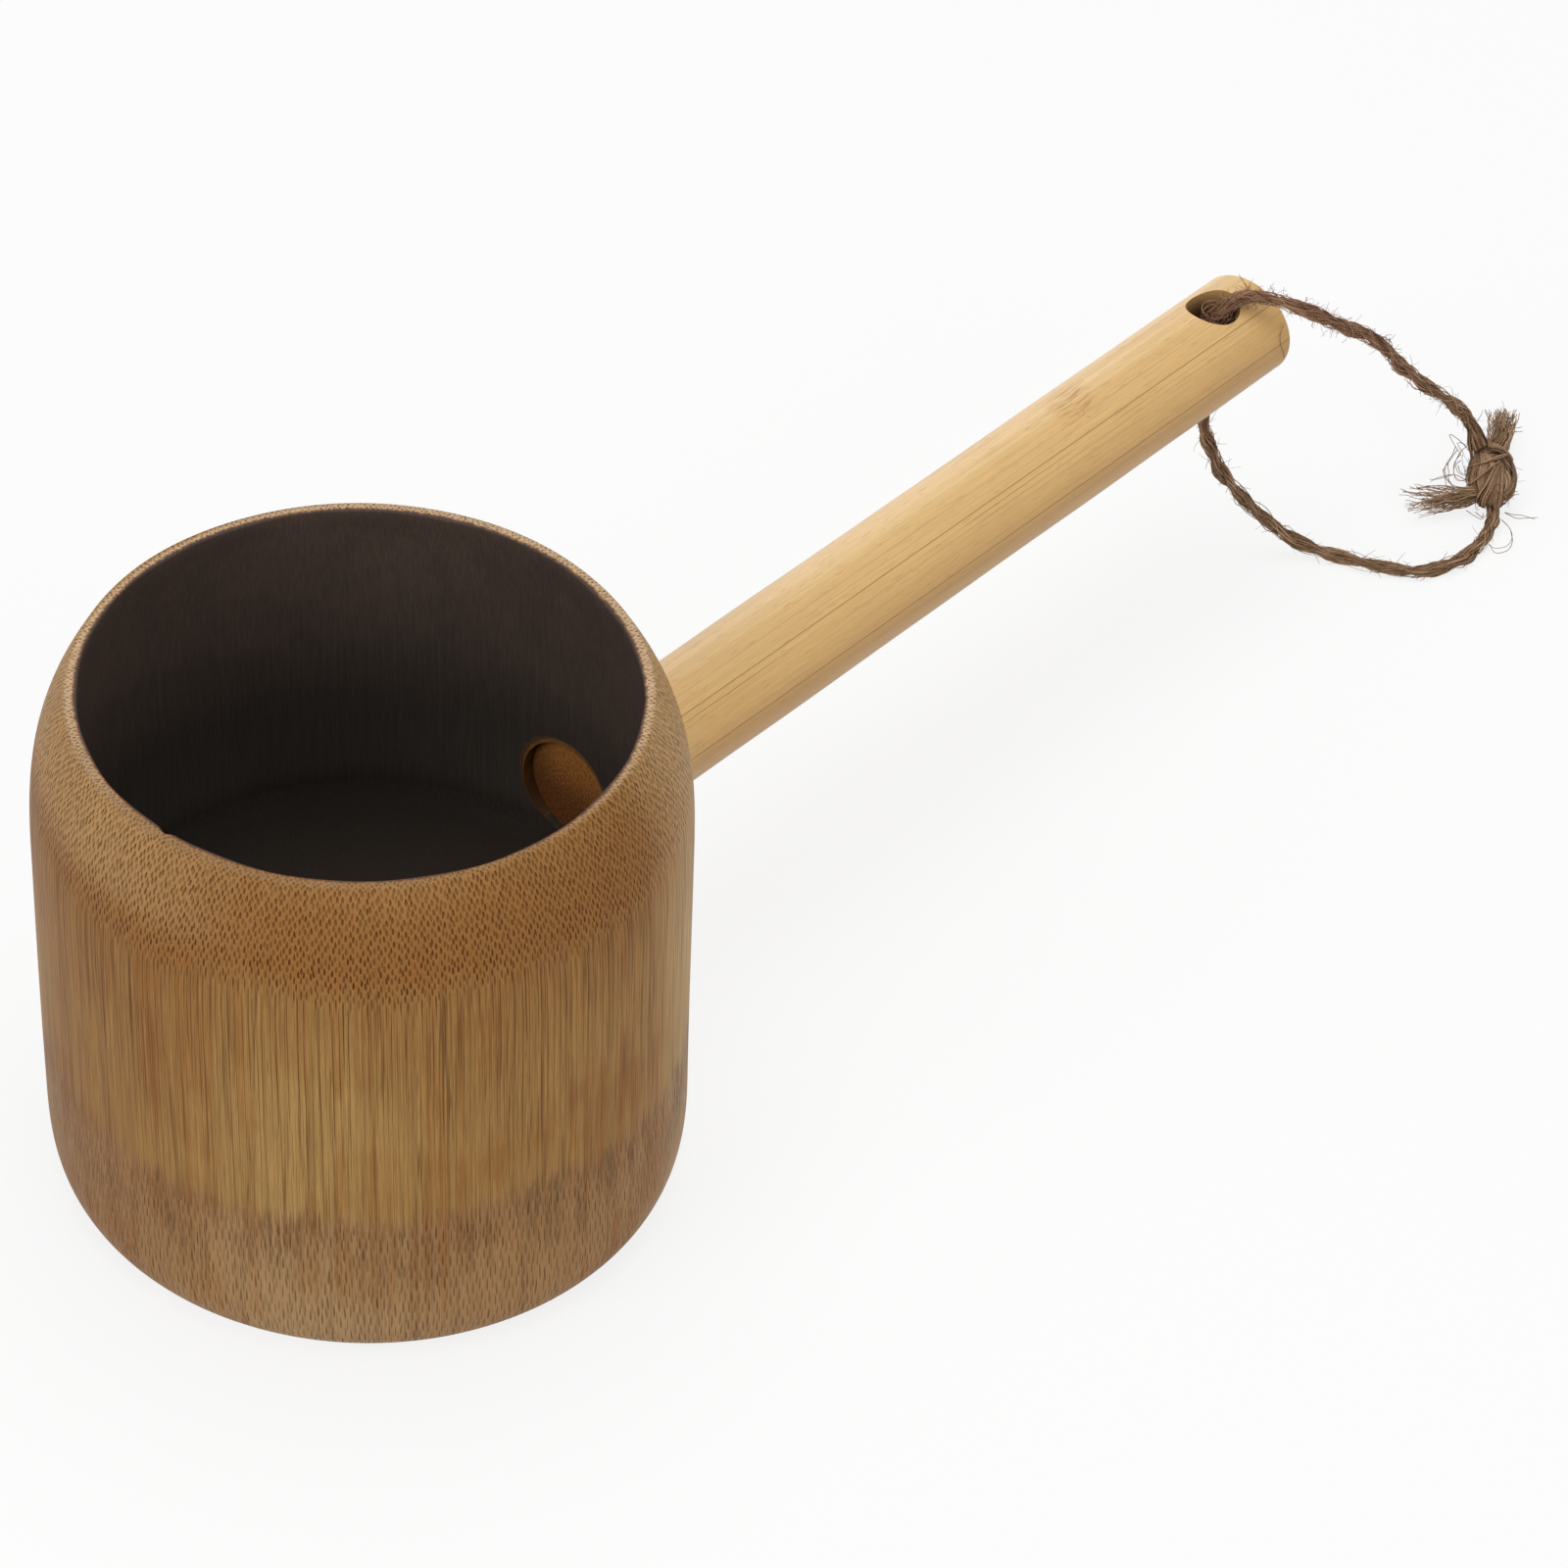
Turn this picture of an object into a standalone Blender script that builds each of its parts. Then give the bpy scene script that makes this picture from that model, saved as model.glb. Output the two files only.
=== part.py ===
"""Bath ladle: a turned bamboo cup, a laminated round handle and a coir hanging loop.

Lengths are in metres. +Z is up, the handle points along +X and the ladle stands at Z = 0.
The origin is under the middle of the ladle's length and width, the cord left out.
"""

import math

import bmesh
import bpy
from mathutils import Matrix, Vector

# Cup, turned from one bamboo culm. Radii are means: the culm is slightly oval
CUP_HEIGHT = 0.0920
CUP_RADIUS = 0.0500
CULM_OVAL = 0.0005
WALL = 0.0056
RIM_RADIUS = 0.0439
RIM_WIDTH = 0.0020
RIM_EDGE = 0.0004
SHOULDER_DROP = 0.0300
SHOULDER_POWER = 3.0
MOUTH_POWER = 2.0
FOOT_RADIUS = 0.0420
FOOT_WIDTH = 0.0030
FOOT_RISE = 0.0155
FOOT_POWER = 3.2
FLOOR_HEIGHT = 0.0320
FLOOR_THICKNESS = 0.0050
CORNER_FILLET = 0.0030

# Handle, three bamboo strips glued and turned to one round bar
HANDLE_DIAMETER = 0.0188
HANDLE_LENGTH = 0.1683
HANDLE_HEIGHT = 0.0444
HANDLE_SIDE_SHIFT = -0.0015
HANDLE_RECESS = 0.0011
HANDLE_END_ROUND = 0.0012
HANDLE_INNER_EDGE = 0.0003
CORE_STRIP_THICKNESS = 0.0070
GLUE_LINE = 0.0003
STRIP_LEAN = math.radians(31.0)
HANG_HOLE_DIAMETER = 0.0093
HANG_HOLE_FROM_END = 0.0106

# Hanging cord of coir
CORD_DIAMETER = 0.0026
CORD_POINT_SPACING = 2.0 * CORD_DIAMETER
KNOT_LENGTH = 0.0120
KNOT_WIDTH = 0.0080
KNOT_HEIGHT = 0.0079
KNOT_RIDGE = 0.0004
KNOT_RIDGES = 3
TAIL_END_DIAMETER = 0.0044

# Clearances
BORE_CLEARANCE = 0.0003
CORD_JOINT_GAP = 0.0003
TABLE_CLEARANCE = 0.00015

# Places that follow from the sizes above
BELLY_RADIUS = CUP_RADIUS - WALL
MOUTH_RADIUS = RIM_RADIUS - RIM_WIDTH
RECESS_RADIUS = FOOT_RADIUS - FOOT_WIDTH
SHOULDER_HEIGHT = CUP_HEIGHT - SHOULDER_DROP
UNDERSIDE_HEIGHT = FLOOR_HEIGHT - FLOOR_THICKNESS
HANDLE_RADIUS = HANDLE_DIAMETER / 2.0
HANDLE_START = BELLY_RADIUS - CULM_OVAL + HANDLE_RECESS
HANDLE_END = HANDLE_START + HANDLE_LENGTH
CUP_X = -(HANDLE_END - (CUP_RADIUS - CULM_OVAL)) / 2.0
HANDLE_AXIS = Vector((CUP_X, HANDLE_SIDE_SHIFT, HANDLE_HEIGHT))
HOLE_X = CUP_X + HANDLE_END - HANG_HOLE_FROM_END
HOLE_FOOT = Vector((HOLE_X, HANDLE_SIDE_SHIFT, 0.0))
CORD_RADIUS = CORD_DIAMETER / 2.0
CORD_TABLE_HEIGHT = CORD_RADIUS + TABLE_CLEARANCE
CORD_MIDDLE = HANDLE_HEIGHT
KNOT_TURN = math.atan2(0.65, 0.76)

# The cord's route, from the hanging hole's axis at table height
UPPER_RUN = (
    (0.0003, -0.0003, CORD_MIDDLE + CORD_JOINT_GAP / 2.0),
    (0.0003, -0.0003, 0.0486),
    (0.0006, -0.0006, 0.0518),
    (0.0021, -0.0021, 0.0546),
    (0.0044, -0.0042, 0.0559),
    (0.0072, -0.0076, 0.0556),
    (0.0104, -0.0114, 0.0538),
    (0.0171, -0.0146, 0.0485),
    (0.0272, -0.0165, 0.0400),
    (0.0337, -0.0181, 0.0315),
    (0.0420, -0.0205, 0.0225),
    (0.0491, -0.0214, 0.0150),
    (0.0517, -0.0226, 0.0098),
    (0.05143, -0.02441, 0.00712),
)
LOWER_RUN = (
    (0.0003, -0.0003, CORD_MIDDLE - CORD_JOINT_GAP / 2.0),
    (0.0003, -0.0003, 0.0380),
    (0.0002, -0.0001, 0.0330),
    (0.0003, -0.0002, 0.0283),
    (0.0016, -0.0009, 0.0232),
    (0.0034, -0.0023, 0.0178),
    (0.0063, -0.0058, 0.0115),
    (0.0094, -0.0097, 0.0066),
    (0.0121, -0.0139, 0.0032),
    (0.0147, -0.0185, 0.0016),
    (0.0167, -0.0234, CORD_TABLE_HEIGHT),
    (0.0193, -0.0291, CORD_TABLE_HEIGHT),
    (0.0225, -0.0338, CORD_TABLE_HEIGHT),
    (0.0282, -0.0367, CORD_TABLE_HEIGHT),
    (0.0355, -0.0369, CORD_TABLE_HEIGHT),
    (0.0415, -0.0352, 0.0018),
    (0.04479, -0.03283, 0.00305),
)
KNOT_CENTRE = Vector((0.0493, -0.0287, KNOT_HEIGHT / 2.0 + 0.0003))
LONG_TAIL = (
    (0.05434, -0.02458, 0.0042),
    (0.0584, -0.0234, 0.0036),
    (0.0631, -0.0205, 0.0031),
    (0.0676, -0.0176, 0.0029),
)
SHORT_TAIL = (
    (0.04366, -0.0290, 0.0041),
    (0.0415, -0.0266, 0.0034),
    (0.0386, -0.0239, 0.0029),
    (0.0358, -0.0214, 0.0027),
)

# Facets
CUP_SEGMENTS = 72
HANDLE_SEGMENTS = 48
HOLE_SEGMENTS = 36
CURVE_STEPS = 9
FILLET_STEPS = 4
SHARP_ANGLE = math.radians(35.0)


def clear_scene():
    """Remove whatever the file opened with."""
    for obj in list(bpy.data.objects):
        bpy.data.objects.remove(obj, do_unlink=True)


def make_material(name, colour, roughness):
    """Principled material for a non-metal."""
    material = bpy.data.materials.new(name)
    material.use_nodes = True
    shader = material.node_tree.nodes["Principled BSDF"]
    shader.inputs["Base Color"].default_value = (*colour, 1.0)
    shader.inputs["Roughness"].default_value = roughness
    shader.inputs["Metallic"].default_value = 0.0
    return material


def link_object(name, data, material=None, parent=None):
    """Put mesh or curve data in the scene, keeping its world place under a parent."""
    obj = bpy.data.objects.new(name, data)
    bpy.context.collection.objects.link(obj)
    if material is not None:
        data.materials.append(material)
    if parent is not None:
        obj.parent = parent
        obj.matrix_parent_inverse = Matrix.Translation(-parent.location)
    return obj


def mesh_from_bmesh(name, bm):
    """Turn a bmesh into smooth-shaded mesh data with outward faces."""
    bmesh.ops.recalc_face_normals(bm, faces=bm.faces)
    mesh = bpy.data.meshes.new(name)
    bm.to_mesh(mesh)
    bm.free()
    mesh.shade_smooth()
    mesh.set_sharp_from_angle(angle=SHARP_ANGLE)
    return mesh


def make_cutter(name, bm):
    """Hidden wire object that only cuts."""
    cutter = link_object(name, mesh_from_bmesh(name, bm))
    cutter.hide_render = True
    cutter.display_type = 'WIRE'
    return cutter


def add_boolean(obj, cutter, operation):
    """Live Boolean with the exact solver."""
    modifier = obj.modifiers.new(cutter.name, 'BOOLEAN')
    modifier.operation = operation
    modifier.solver = 'EXACT'
    modifier.object = cutter


def skin_rings(bm, rings):
    """Join closed rings of vertices, and close both ends, each to its ring's middle."""
    for lower, upper in zip(rings, rings[1:]):
        count = len(lower)
        for i in range(count):
            j = (i + 1) % count
            bm.faces.new((lower[i], lower[j], upper[j], upper[i]))
    for ring in (rings[0], rings[-1]):
        middle = sum((v.co for v in ring), Vector()) / len(ring)
        tip = bm.verts.new(middle)
        for i in range(len(ring)):
            bm.faces.new((ring[i], ring[(i + 1) % len(ring)], tip))


def turned_solid(profile, segments, place, oval=0.0):
    """Closed solid turned about an axis from (radius, height) points.

    place maps a point of the turning, with its axis along Z, into the model.
    oval is added to the radius across X and taken from it along X.
    """
    bm = bmesh.new()
    rings = []
    for radius, height in profile:
        ring = []
        for i in range(segments):
            angle = 2.0 * math.pi * i / segments
            reach = radius - oval * math.cos(2.0 * angle)
            point = Vector((reach * math.cos(angle), reach * math.sin(angle), height))
            ring.append(bm.verts.new(place @ point))
        rings.append(ring)
    skin_rings(bm, rings)
    return bm


def quarter_round(centre_radius, centre_height, size, start, stop, steps):
    """Points of a fillet's arc, from angle start to stop in degrees."""
    points = []
    for i in range(steps + 1):
        angle = math.radians(start + (stop - start) * i / steps)
        points.append((centre_radius + size * math.cos(angle), centre_height + size * math.sin(angle)))
    return points


def shoulder_profile():
    """Outside from the body up to the rim, drawing in faster towards the mouth."""
    points = []
    for i in range(CURVE_STEPS + 1):
        share = math.sin(math.pi / 2.0 * i / CURVE_STEPS)
        radius = CUP_RADIUS - (CUP_RADIUS - RIM_RADIUS) * share ** SHOULDER_POWER
        points.append((radius, SHOULDER_HEIGHT + (SHOULDER_DROP - RIM_EDGE) * share))
    return points


def foot_profile():
    """Outside from the foot ring up to the body, as one full round."""
    points = []
    for i in range(1, CURVE_STEPS + 1):
        share = 1.0 - math.cos(math.pi / 2.0 * i / CURVE_STEPS)
        swell = (1.0 - (1.0 - share) ** FOOT_POWER) ** (1.0 / FOOT_POWER)
        points.append((FOOT_RADIUS + (CUP_RADIUS - FOOT_RADIUS) * swell, FOOT_RISE * share))
    return points


def bowl_profile():
    """Inside, from the floor up the wall to the mouth."""
    points = quarter_round(BELLY_RADIUS - CORNER_FILLET, FLOOR_HEIGHT + CORNER_FILLET,
                           CORNER_FILLET, -90.0, 0.0, FILLET_STEPS)
    for i in range(CURVE_STEPS // 2 + 1):
        share = i / (CURVE_STEPS // 2)
        radius = BELLY_RADIUS - (BELLY_RADIUS - MOUTH_RADIUS) * share ** MOUTH_POWER
        points.append((radius, SHOULDER_HEIGHT + (SHOULDER_DROP - RIM_EDGE) * share))
    return points


def underside_profile():
    """From the foot ring up the hollow under the culm's natural floor."""
    points = [(FOOT_RADIUS, 0.0), (RECESS_RADIUS, 0.0)]
    points += quarter_round(RECESS_RADIUS - CORNER_FILLET, UNDERSIDE_HEIGHT - CORNER_FILLET,
                            CORNER_FILLET, 0.0, 90.0, FILLET_STEPS)
    return points


def build_cup(material):
    """Cup in one piece, bored through the wall for the handle."""
    rim = [(MOUTH_RADIUS + RIM_EDGE, CUP_HEIGHT), (RIM_RADIUS - RIM_EDGE, CUP_HEIGHT)]
    outside = list(reversed(shoulder_profile())) + list(reversed(foot_profile()))
    profile = bowl_profile() + rim + outside + underside_profile()
    place = Matrix.Translation((CUP_X, 0.0, 0.0))
    bm = turned_solid(profile, CUP_SEGMENTS, place, CULM_OVAL)
    cup = link_object("cup", mesh_from_bmesh("cup", bm), material)
    bore_radius = HANDLE_RADIUS + BORE_CLEARANCE
    bore_profile = [(bore_radius, BELLY_RADIUS - 2.0 * WALL), (bore_radius, CUP_RADIUS + 2.0 * WALL)]
    bore = make_cutter("handle_bore_cutter", turned_solid(bore_profile, HANDLE_SEGMENTS, along_handle()))
    add_boolean(cup, bore, 'DIFFERENCE')


def along_handle():
    """Map from a turning's own axis to the handle's axis, measured from the cup's axis."""
    return Matrix.Translation(HANDLE_AXIS) @ Matrix.Rotation(math.radians(90.0), 4, 'Y')


def handle_blank():
    """Mesh of the whole turned bar, rounded at its far end."""
    profile = [(HANDLE_RADIUS - HANDLE_INNER_EDGE, HANDLE_START),
               (HANDLE_RADIUS, HANDLE_START + HANDLE_INNER_EDGE)]
    profile += quarter_round(HANDLE_RADIUS - HANDLE_END_ROUND, HANDLE_END - HANDLE_END_ROUND,
                             HANDLE_END_ROUND, 0.0, 90.0, FILLET_STEPS)
    return mesh_from_bmesh("handle_bar", turned_solid(profile, HANDLE_SEGMENTS, along_handle()))


def strip_cutter(name, low, high):
    """Slab that keeps one strip, between two heights along the strips' stacking direction."""
    bm = bmesh.new()
    bmesh.ops.create_cube(bm, size=1.0)
    size = Vector((HANDLE_LENGTH + HANDLE_DIAMETER, 2.0 * HANDLE_DIAMETER, high - low))
    middle = HANDLE_AXIS + Vector(((HANDLE_START + HANDLE_END) / 2.0, 0.0, 0.0))
    place = Matrix.Translation(middle) @ Matrix.Rotation(-STRIP_LEAN, 4, 'X')
    place = place @ Matrix.Translation((0.0, 0.0, (low + high) / 2.0))
    bmesh.ops.transform(bm, matrix=place @ Matrix.Diagonal((*size, 1.0)), verts=bm.verts)
    return make_cutter(name, bm)


def hanging_hole_cutter():
    """Upright cylinder through the handle near its end."""
    reach = HANDLE_DIAMETER
    profile = [(HANG_HOLE_DIAMETER / 2.0, HANDLE_HEIGHT - reach), (HANG_HOLE_DIAMETER / 2.0, HANDLE_HEIGHT + reach)]
    return make_cutter("hanging_hole_cutter", turned_solid(profile, HOLE_SEGMENTS, Matrix.Translation(HOLE_FOOT)))


def build_handle(material):
    """Three strips cut from one round bar, with thin glue lines between them."""
    bar = handle_blank()
    hole = hanging_hole_cutter()
    core_face = CORE_STRIP_THICKNESS / 2.0
    outer_face = core_face + GLUE_LINE
    strips = {
        "handle_upper_strip": (outer_face, HANDLE_DIAMETER),
        "handle_core_strip": (-core_face, core_face),
        "handle_lower_strip": (-HANDLE_DIAMETER, -outer_face),
    }
    bar.materials.append(material)
    for name, (low, high) in strips.items():
        strip = link_object(name, bar)
        add_boolean(strip, strip_cutter(name + "_cutter", low, high), 'INTERSECT')
        add_boolean(strip, hole, 'DIFFERENCE')


def smooth_route(route, spacing):
    """Points at an even spacing along a smooth curve through the route's own points."""
    points = [Vector(p) for p in route]
    padded = [2.0 * points[0] - points[1]] + points + [2.0 * points[-1] - points[-2]]
    fine = []
    steps = 24
    for p0, p1, p2, p3 in zip(padded, padded[1:], padded[2:], padded[3:]):
        t1 = (p1 - p0).length ** 0.5
        t2 = t1 + (p2 - p1).length ** 0.5
        t3 = t2 + (p3 - p2).length ** 0.5
        for i in range(steps):
            t = t1 + (t2 - t1) * i / steps
            a1 = p0.lerp(p1, t / t1)
            a2 = p1.lerp(p2, (t - t1) / (t2 - t1))
            a3 = p2.lerp(p3, (t - t2) / (t3 - t2))
            b1 = a1.lerp(a2, t / t2)
            b2 = a2.lerp(a3, (t - t1) / (t3 - t1))
            fine.append(b1.lerp(b2, (t - t1) / (t2 - t1)))
    fine.append(points[-1])
    length = sum((b - a).length for a, b in zip(fine, fine[1:]))
    count = max(2, round(length / spacing))
    even = [fine[0]]
    travelled = 0.0
    for a, b in zip(fine, fine[1:]):
        step = (b - a).length
        while len(even) < count and travelled + step >= len(even) * length / count:
            even.append(a.lerp(b, (len(even) * length / count - travelled) / step))
        travelled += step
    return even + [fine[-1]]


def build_tube(name, route, material, parent, end_diameter=CORD_DIAMETER):
    """Round cord along a route, of one diameter or widening evenly to its end."""
    points = smooth_route(route, CORD_POINT_SPACING)
    curve = bpy.data.curves.new(name, 'CURVE')
    curve.dimensions = '3D'
    curve.bevel_depth = CORD_RADIUS
    curve.bevel_resolution = 2
    curve.use_fill_caps = True
    spline = curve.splines.new('POLY')
    spline.points.add(len(points) - 1)
    last = len(points) - 1
    for i, (target, point) in enumerate(zip(spline.points, points)):
        target.co = (*(HOLE_FOOT + point), 1.0)
        target.radius = 1.0 + (end_diameter / CORD_DIAMETER - 1.0) * i / last
    return link_object(name, curve, material, parent)


def build_knot(material, parent):
    """Overhand knot as one body with the ridges of its crossing turns."""
    bm = bmesh.new()
    bmesh.ops.create_uvsphere(bm, u_segments=24, v_segments=14, radius=1.0)
    half = Vector((KNOT_LENGTH, KNOT_WIDTH, KNOT_HEIGHT)) / 2.0
    for vert in bm.verts:
        direction = vert.co.normalized()
        around = math.atan2(direction.z, direction.y)
        ridge = math.cos(KNOT_RIDGES * (math.pi * direction.x + around / 2.0)) ** 2
        depth = KNOT_RIDGE * (1.0 - ridge) * (1.0 - abs(direction.x))
        vert.co = Vector((direction.x * half.x, direction.y * (half.y - depth), direction.z * (half.z - depth)))
    place = Matrix.Translation(HOLE_FOOT + KNOT_CENTRE) @ Matrix.Rotation(KNOT_TURN, 4, 'Z')
    bmesh.ops.transform(bm, matrix=place, verts=bm.verts)
    link_object("cord_knot", mesh_from_bmesh("cord_knot", bm), material, parent)


def build_hanging_loop(material):
    """Cord, knot and tails, hung on the axis that the loop swings about."""
    pivot = bpy.data.objects.new("loop_swing_axis", None)
    bpy.context.collection.objects.link(pivot)
    pivot.location = HOLE_FOOT + Vector((0.0, 0.0, HANDLE_HEIGHT))
    build_tube("cord_upper_run", UPPER_RUN, material, pivot)
    build_tube("cord_lower_run", LOWER_RUN, material, pivot)
    build_knot(material, pivot)
    build_tube("cord_long_tail", LONG_TAIL, material, pivot, TAIL_END_DIAMETER)
    build_tube("cord_short_tail", SHORT_TAIL, material, pivot, TAIL_END_DIAMETER)


def main():
    clear_scene()
    build_cup(make_material("brown_bamboo", (0.352, 0.188, 0.061), 0.45))
    build_handle(make_material("pale_bamboo", (0.716, 0.456, 0.188), 0.40))
    build_hanging_loop(make_material("coir", (0.141, 0.070, 0.042), 0.90))


main()
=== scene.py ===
"""Looks of a bath ladle: a turned bamboo cup, a laminated bamboo handle and a coir hanging loop.

Lengths are in millimetres unless a name says otherwise, and each mesh is scaled to metres when it is made.
"""

from __future__ import annotations

import logging
import math
import random
from dataclasses import dataclass, field
from enum import Enum

import bmesh
import bpy
import numpy as np
from mathutils import Matrix, Vector

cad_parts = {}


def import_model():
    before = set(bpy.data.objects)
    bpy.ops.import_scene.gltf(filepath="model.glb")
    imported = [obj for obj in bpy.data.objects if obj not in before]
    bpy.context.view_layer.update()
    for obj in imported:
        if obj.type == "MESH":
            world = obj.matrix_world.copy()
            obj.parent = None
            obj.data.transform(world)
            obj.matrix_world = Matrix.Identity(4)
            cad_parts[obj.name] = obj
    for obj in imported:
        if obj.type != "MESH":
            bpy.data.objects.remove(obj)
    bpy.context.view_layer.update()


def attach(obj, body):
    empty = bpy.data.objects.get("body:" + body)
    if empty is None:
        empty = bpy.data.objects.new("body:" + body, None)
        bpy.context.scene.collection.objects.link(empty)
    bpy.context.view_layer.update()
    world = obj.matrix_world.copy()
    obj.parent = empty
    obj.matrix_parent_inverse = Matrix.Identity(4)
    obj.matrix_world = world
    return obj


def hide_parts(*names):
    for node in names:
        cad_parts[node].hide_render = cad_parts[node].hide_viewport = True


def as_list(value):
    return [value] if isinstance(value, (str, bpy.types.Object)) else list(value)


MM = 0.001
SHARP_ANGLE = math.radians(38.0)
SEEN_ACROSS = (0.806, 0.592)
CORD_STEP = 0.6
FIBRE_STEP = 0.4
CURVE_STEPS = 24
BORE_SIDES = 96
TINY = 1e-9
FULL_TURN = 2.0 * math.pi
LOG = logging.getLogger("bath_ladle")

Colour = tuple[float, float, float]
Point = tuple[float, float, float]
Stops = tuple[tuple[float, Colour], ...]
Socket = bpy.types.NodeSocket


def from_srgb(red: int, green: int, blue: int) -> Colour:
    """Turn an 8-bit display colour into linear values.

    Args:
        red: red from 0 to 255.
        green: green from 0 to 255.
        blue: blue from 0 to 255.

    Returns:
        The three linear values.
    """
    linear = []
    for channel in (red, green, blue):
        share = channel / 255.0
        linear.append(share / 12.92 if share <= 0.04045 else ((share + 0.055) / 1.055) ** 2.4)
    return linear[0], linear[1], linear[2]


class Value:
    """A number that shader nodes work out, written with the usual signs of arithmetic."""

    def __init__(self, graph: Graph, socket: Socket) -> None:
        """Keep the number's graph and socket."""
        self.graph = graph
        self.socket = socket

    def __add__(self, other: Feed) -> Value:
        """Add a number."""
        return self.graph.math('ADD', self, other)

    def __sub__(self, other: Feed) -> Value:
        """Take a number away."""
        return self.graph.math('SUBTRACT', self, other)

    def __rsub__(self, other: Feed) -> Value:
        """Take this from a number."""
        return self.graph.math('SUBTRACT', other, self)

    def __mul__(self, other: Feed) -> Value:
        """Multiply by a number."""
        return self.graph.math('MULTIPLY', self, other)

    def __truediv__(self, other: Feed) -> Value:
        """Divide by a number."""
        return self.graph.math('DIVIDE', self, other)

    def __rtruediv__(self, other: Feed) -> Value:
        """Divide a number by this."""
        return self.graph.math('DIVIDE', other, self)

    def __abs__(self) -> Value:
        """Drop the sign."""
        return self.graph.math('ABSOLUTE', self)


Feed = Value | Socket | float | tuple | Vector


class Graph:
    """Short calls that build one shader node tree."""

    def __init__(self, tree: bpy.types.NodeTree) -> None:
        """Keep the tree of a material, group or world and empty it."""
        self.tree = tree
        self.tree.nodes.clear()

    def node(self, kind: str, **settings: object) -> bpy.types.Node:
        """Add a node.

        Args:
            kind: the node's type name.
            **settings: properties to set on it.

        Returns:
            The new node.
        """
        made = self.tree.nodes.new(kind)
        for name, value in settings.items():
            setattr(made, name, value)
        return made

    def feed(self, socket: Socket, value: Feed) -> None:
        """Link a socket to an input, or set the input's own value.

        Args:
            socket: the input.
            value: what it gets.
        """
        if isinstance(value, Value):
            value = value.socket
        if isinstance(value, bpy.types.NodeSocket):
            self.tree.links.new(value, socket)
        elif isinstance(value, tuple) and socket.type == 'RGBA':
            socket.default_value = (*value[:3], 1.0)
        else:
            socket.default_value = value

    def fed(self, kind: str, *values: Feed, **settings: object) -> bpy.types.Node:
        """Add a node and feed its first inputs.

        Args:
            kind: the node's type name.
            *values: its inputs in order.
            **settings: properties to set on it.

        Returns:
            The new node.
        """
        made = self.node(kind, **settings)
        for socket, value in zip(made.inputs, values):
            self.feed(socket, value)
        return made

    def math(self, operation: str, *values: Feed, clamp: bool = False) -> Value:
        """Work out a number; clamp keeps it within 0 and 1."""
        made = self.fed("ShaderNodeMath", *values, operation=operation, use_clamp=clamp)
        return Value(self, made.outputs[0])

    def larger(self, first: Feed, second: Feed) -> Value:
        """Take the larger of two numbers."""
        return self.math('MAXIMUM', first, second)

    def vector(self, operation: str, *values: Feed) -> Socket:
        """Work out a vector."""
        return self.fed("ShaderNodeVectorMath", *values, operation=operation).outputs["Vector"]

    def dot(self, first: Feed, second: Feed) -> Value:
        """Multiply two vectors to a number."""
        made = self.fed("ShaderNodeVectorMath", first, second, operation='DOT_PRODUCT')
        return Value(self, made.outputs["Value"])

    def length(self, vector: Feed) -> Value:
        """Measure a vector."""
        made = self.fed("ShaderNodeVectorMath", vector, operation='LENGTH')
        return Value(self, made.outputs["Value"])

    def combine(self, x: Feed, y: Feed, z: Feed) -> Socket:
        """Make a vector of three numbers."""
        return self.fed("ShaderNodeCombineXYZ", x, y, z).outputs[0]

    def separate(self, vector: Feed) -> tuple[Value, Value, Value]:
        """Split a vector into its three numbers."""
        x, y, z = self.fed("ShaderNodeSeparateXYZ", vector).outputs
        return Value(self, x), Value(self, y), Value(self, z)

    def ramp(self, value: Feed, low: Feed, high: Feed, to_low: Feed = 0.0, to_high: Feed = 1.0) -> Value:
        """Map a range smoothly onto another.

        Args:
            value: the number to map.
            low: where the result is to_low.
            high: where the result is to_high.
            to_low: the result at low and beyond.
            to_high: the result at high and beyond.

        Returns:
            The mapped number.
        """
        made = self.fed("ShaderNodeMapRange", value, low, high, to_low, to_high,
                        interpolation_type='SMOOTHSTEP')
        return Value(self, made.outputs["Result"])

    def noise(self, place: Feed, scale: Feed = 1.0, detail: float = 2.0, roughness: float = 0.5) -> Value:
        """Look up smooth noise.

        Args:
            place: where to look.
            scale: how many times the noise changes over one unit.
            detail: how many finer layers it has.
            roughness: how strong they are.

        Returns:
            A number from 0 to 1.
        """
        made = self.node("ShaderNodeTexNoise", noise_dimensions='3D')
        given = {"Vector": place, "Scale": scale, "Detail": detail, "Roughness": roughness}
        for name, value in given.items():
            self.feed(made.inputs[name], value)
        return Value(self, made.outputs[0])

    def mix(self, share: Feed, first: Feed, second: Feed, blend: str = 'MIX') -> Socket:
        """Mix two colours.

        Args:
            share: how much of the second is taken.
            first: a colour.
            second: a colour.
            blend: the blend type.

        Returns:
            The mixed colour.
        """
        made = self.node("ShaderNodeMix", data_type='RGBA', blend_type=blend)
        for index, value in ((0, share), (6, first), (7, second)):
            self.feed(made.inputs[index], value)
        return made.outputs[2]

    def shade(self, colour: Feed, bright: Feed) -> Socket:
        """Multiply a colour by a number."""
        return self.mix(1.0, colour, self.combine(bright, bright, bright), 'MULTIPLY')

    def stops(self, value: Feed, colours: Stops) -> Socket:
        """Give a colour by a number.

        Args:
            value: the number, from 0 to 1.
            colours: where each colour lies, in order.

        Returns:
            The colour.
        """
        made = self.fed("ShaderNodeValToRGB", value)
        steps = made.color_ramp.elements
        while len(steps) < len(colours):
            steps.new(0.5)
        for step, (place, colour) in zip(steps, colours):
            step.position = place
            step.color = (*colour, 1.0)
        return made.outputs[0]

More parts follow.
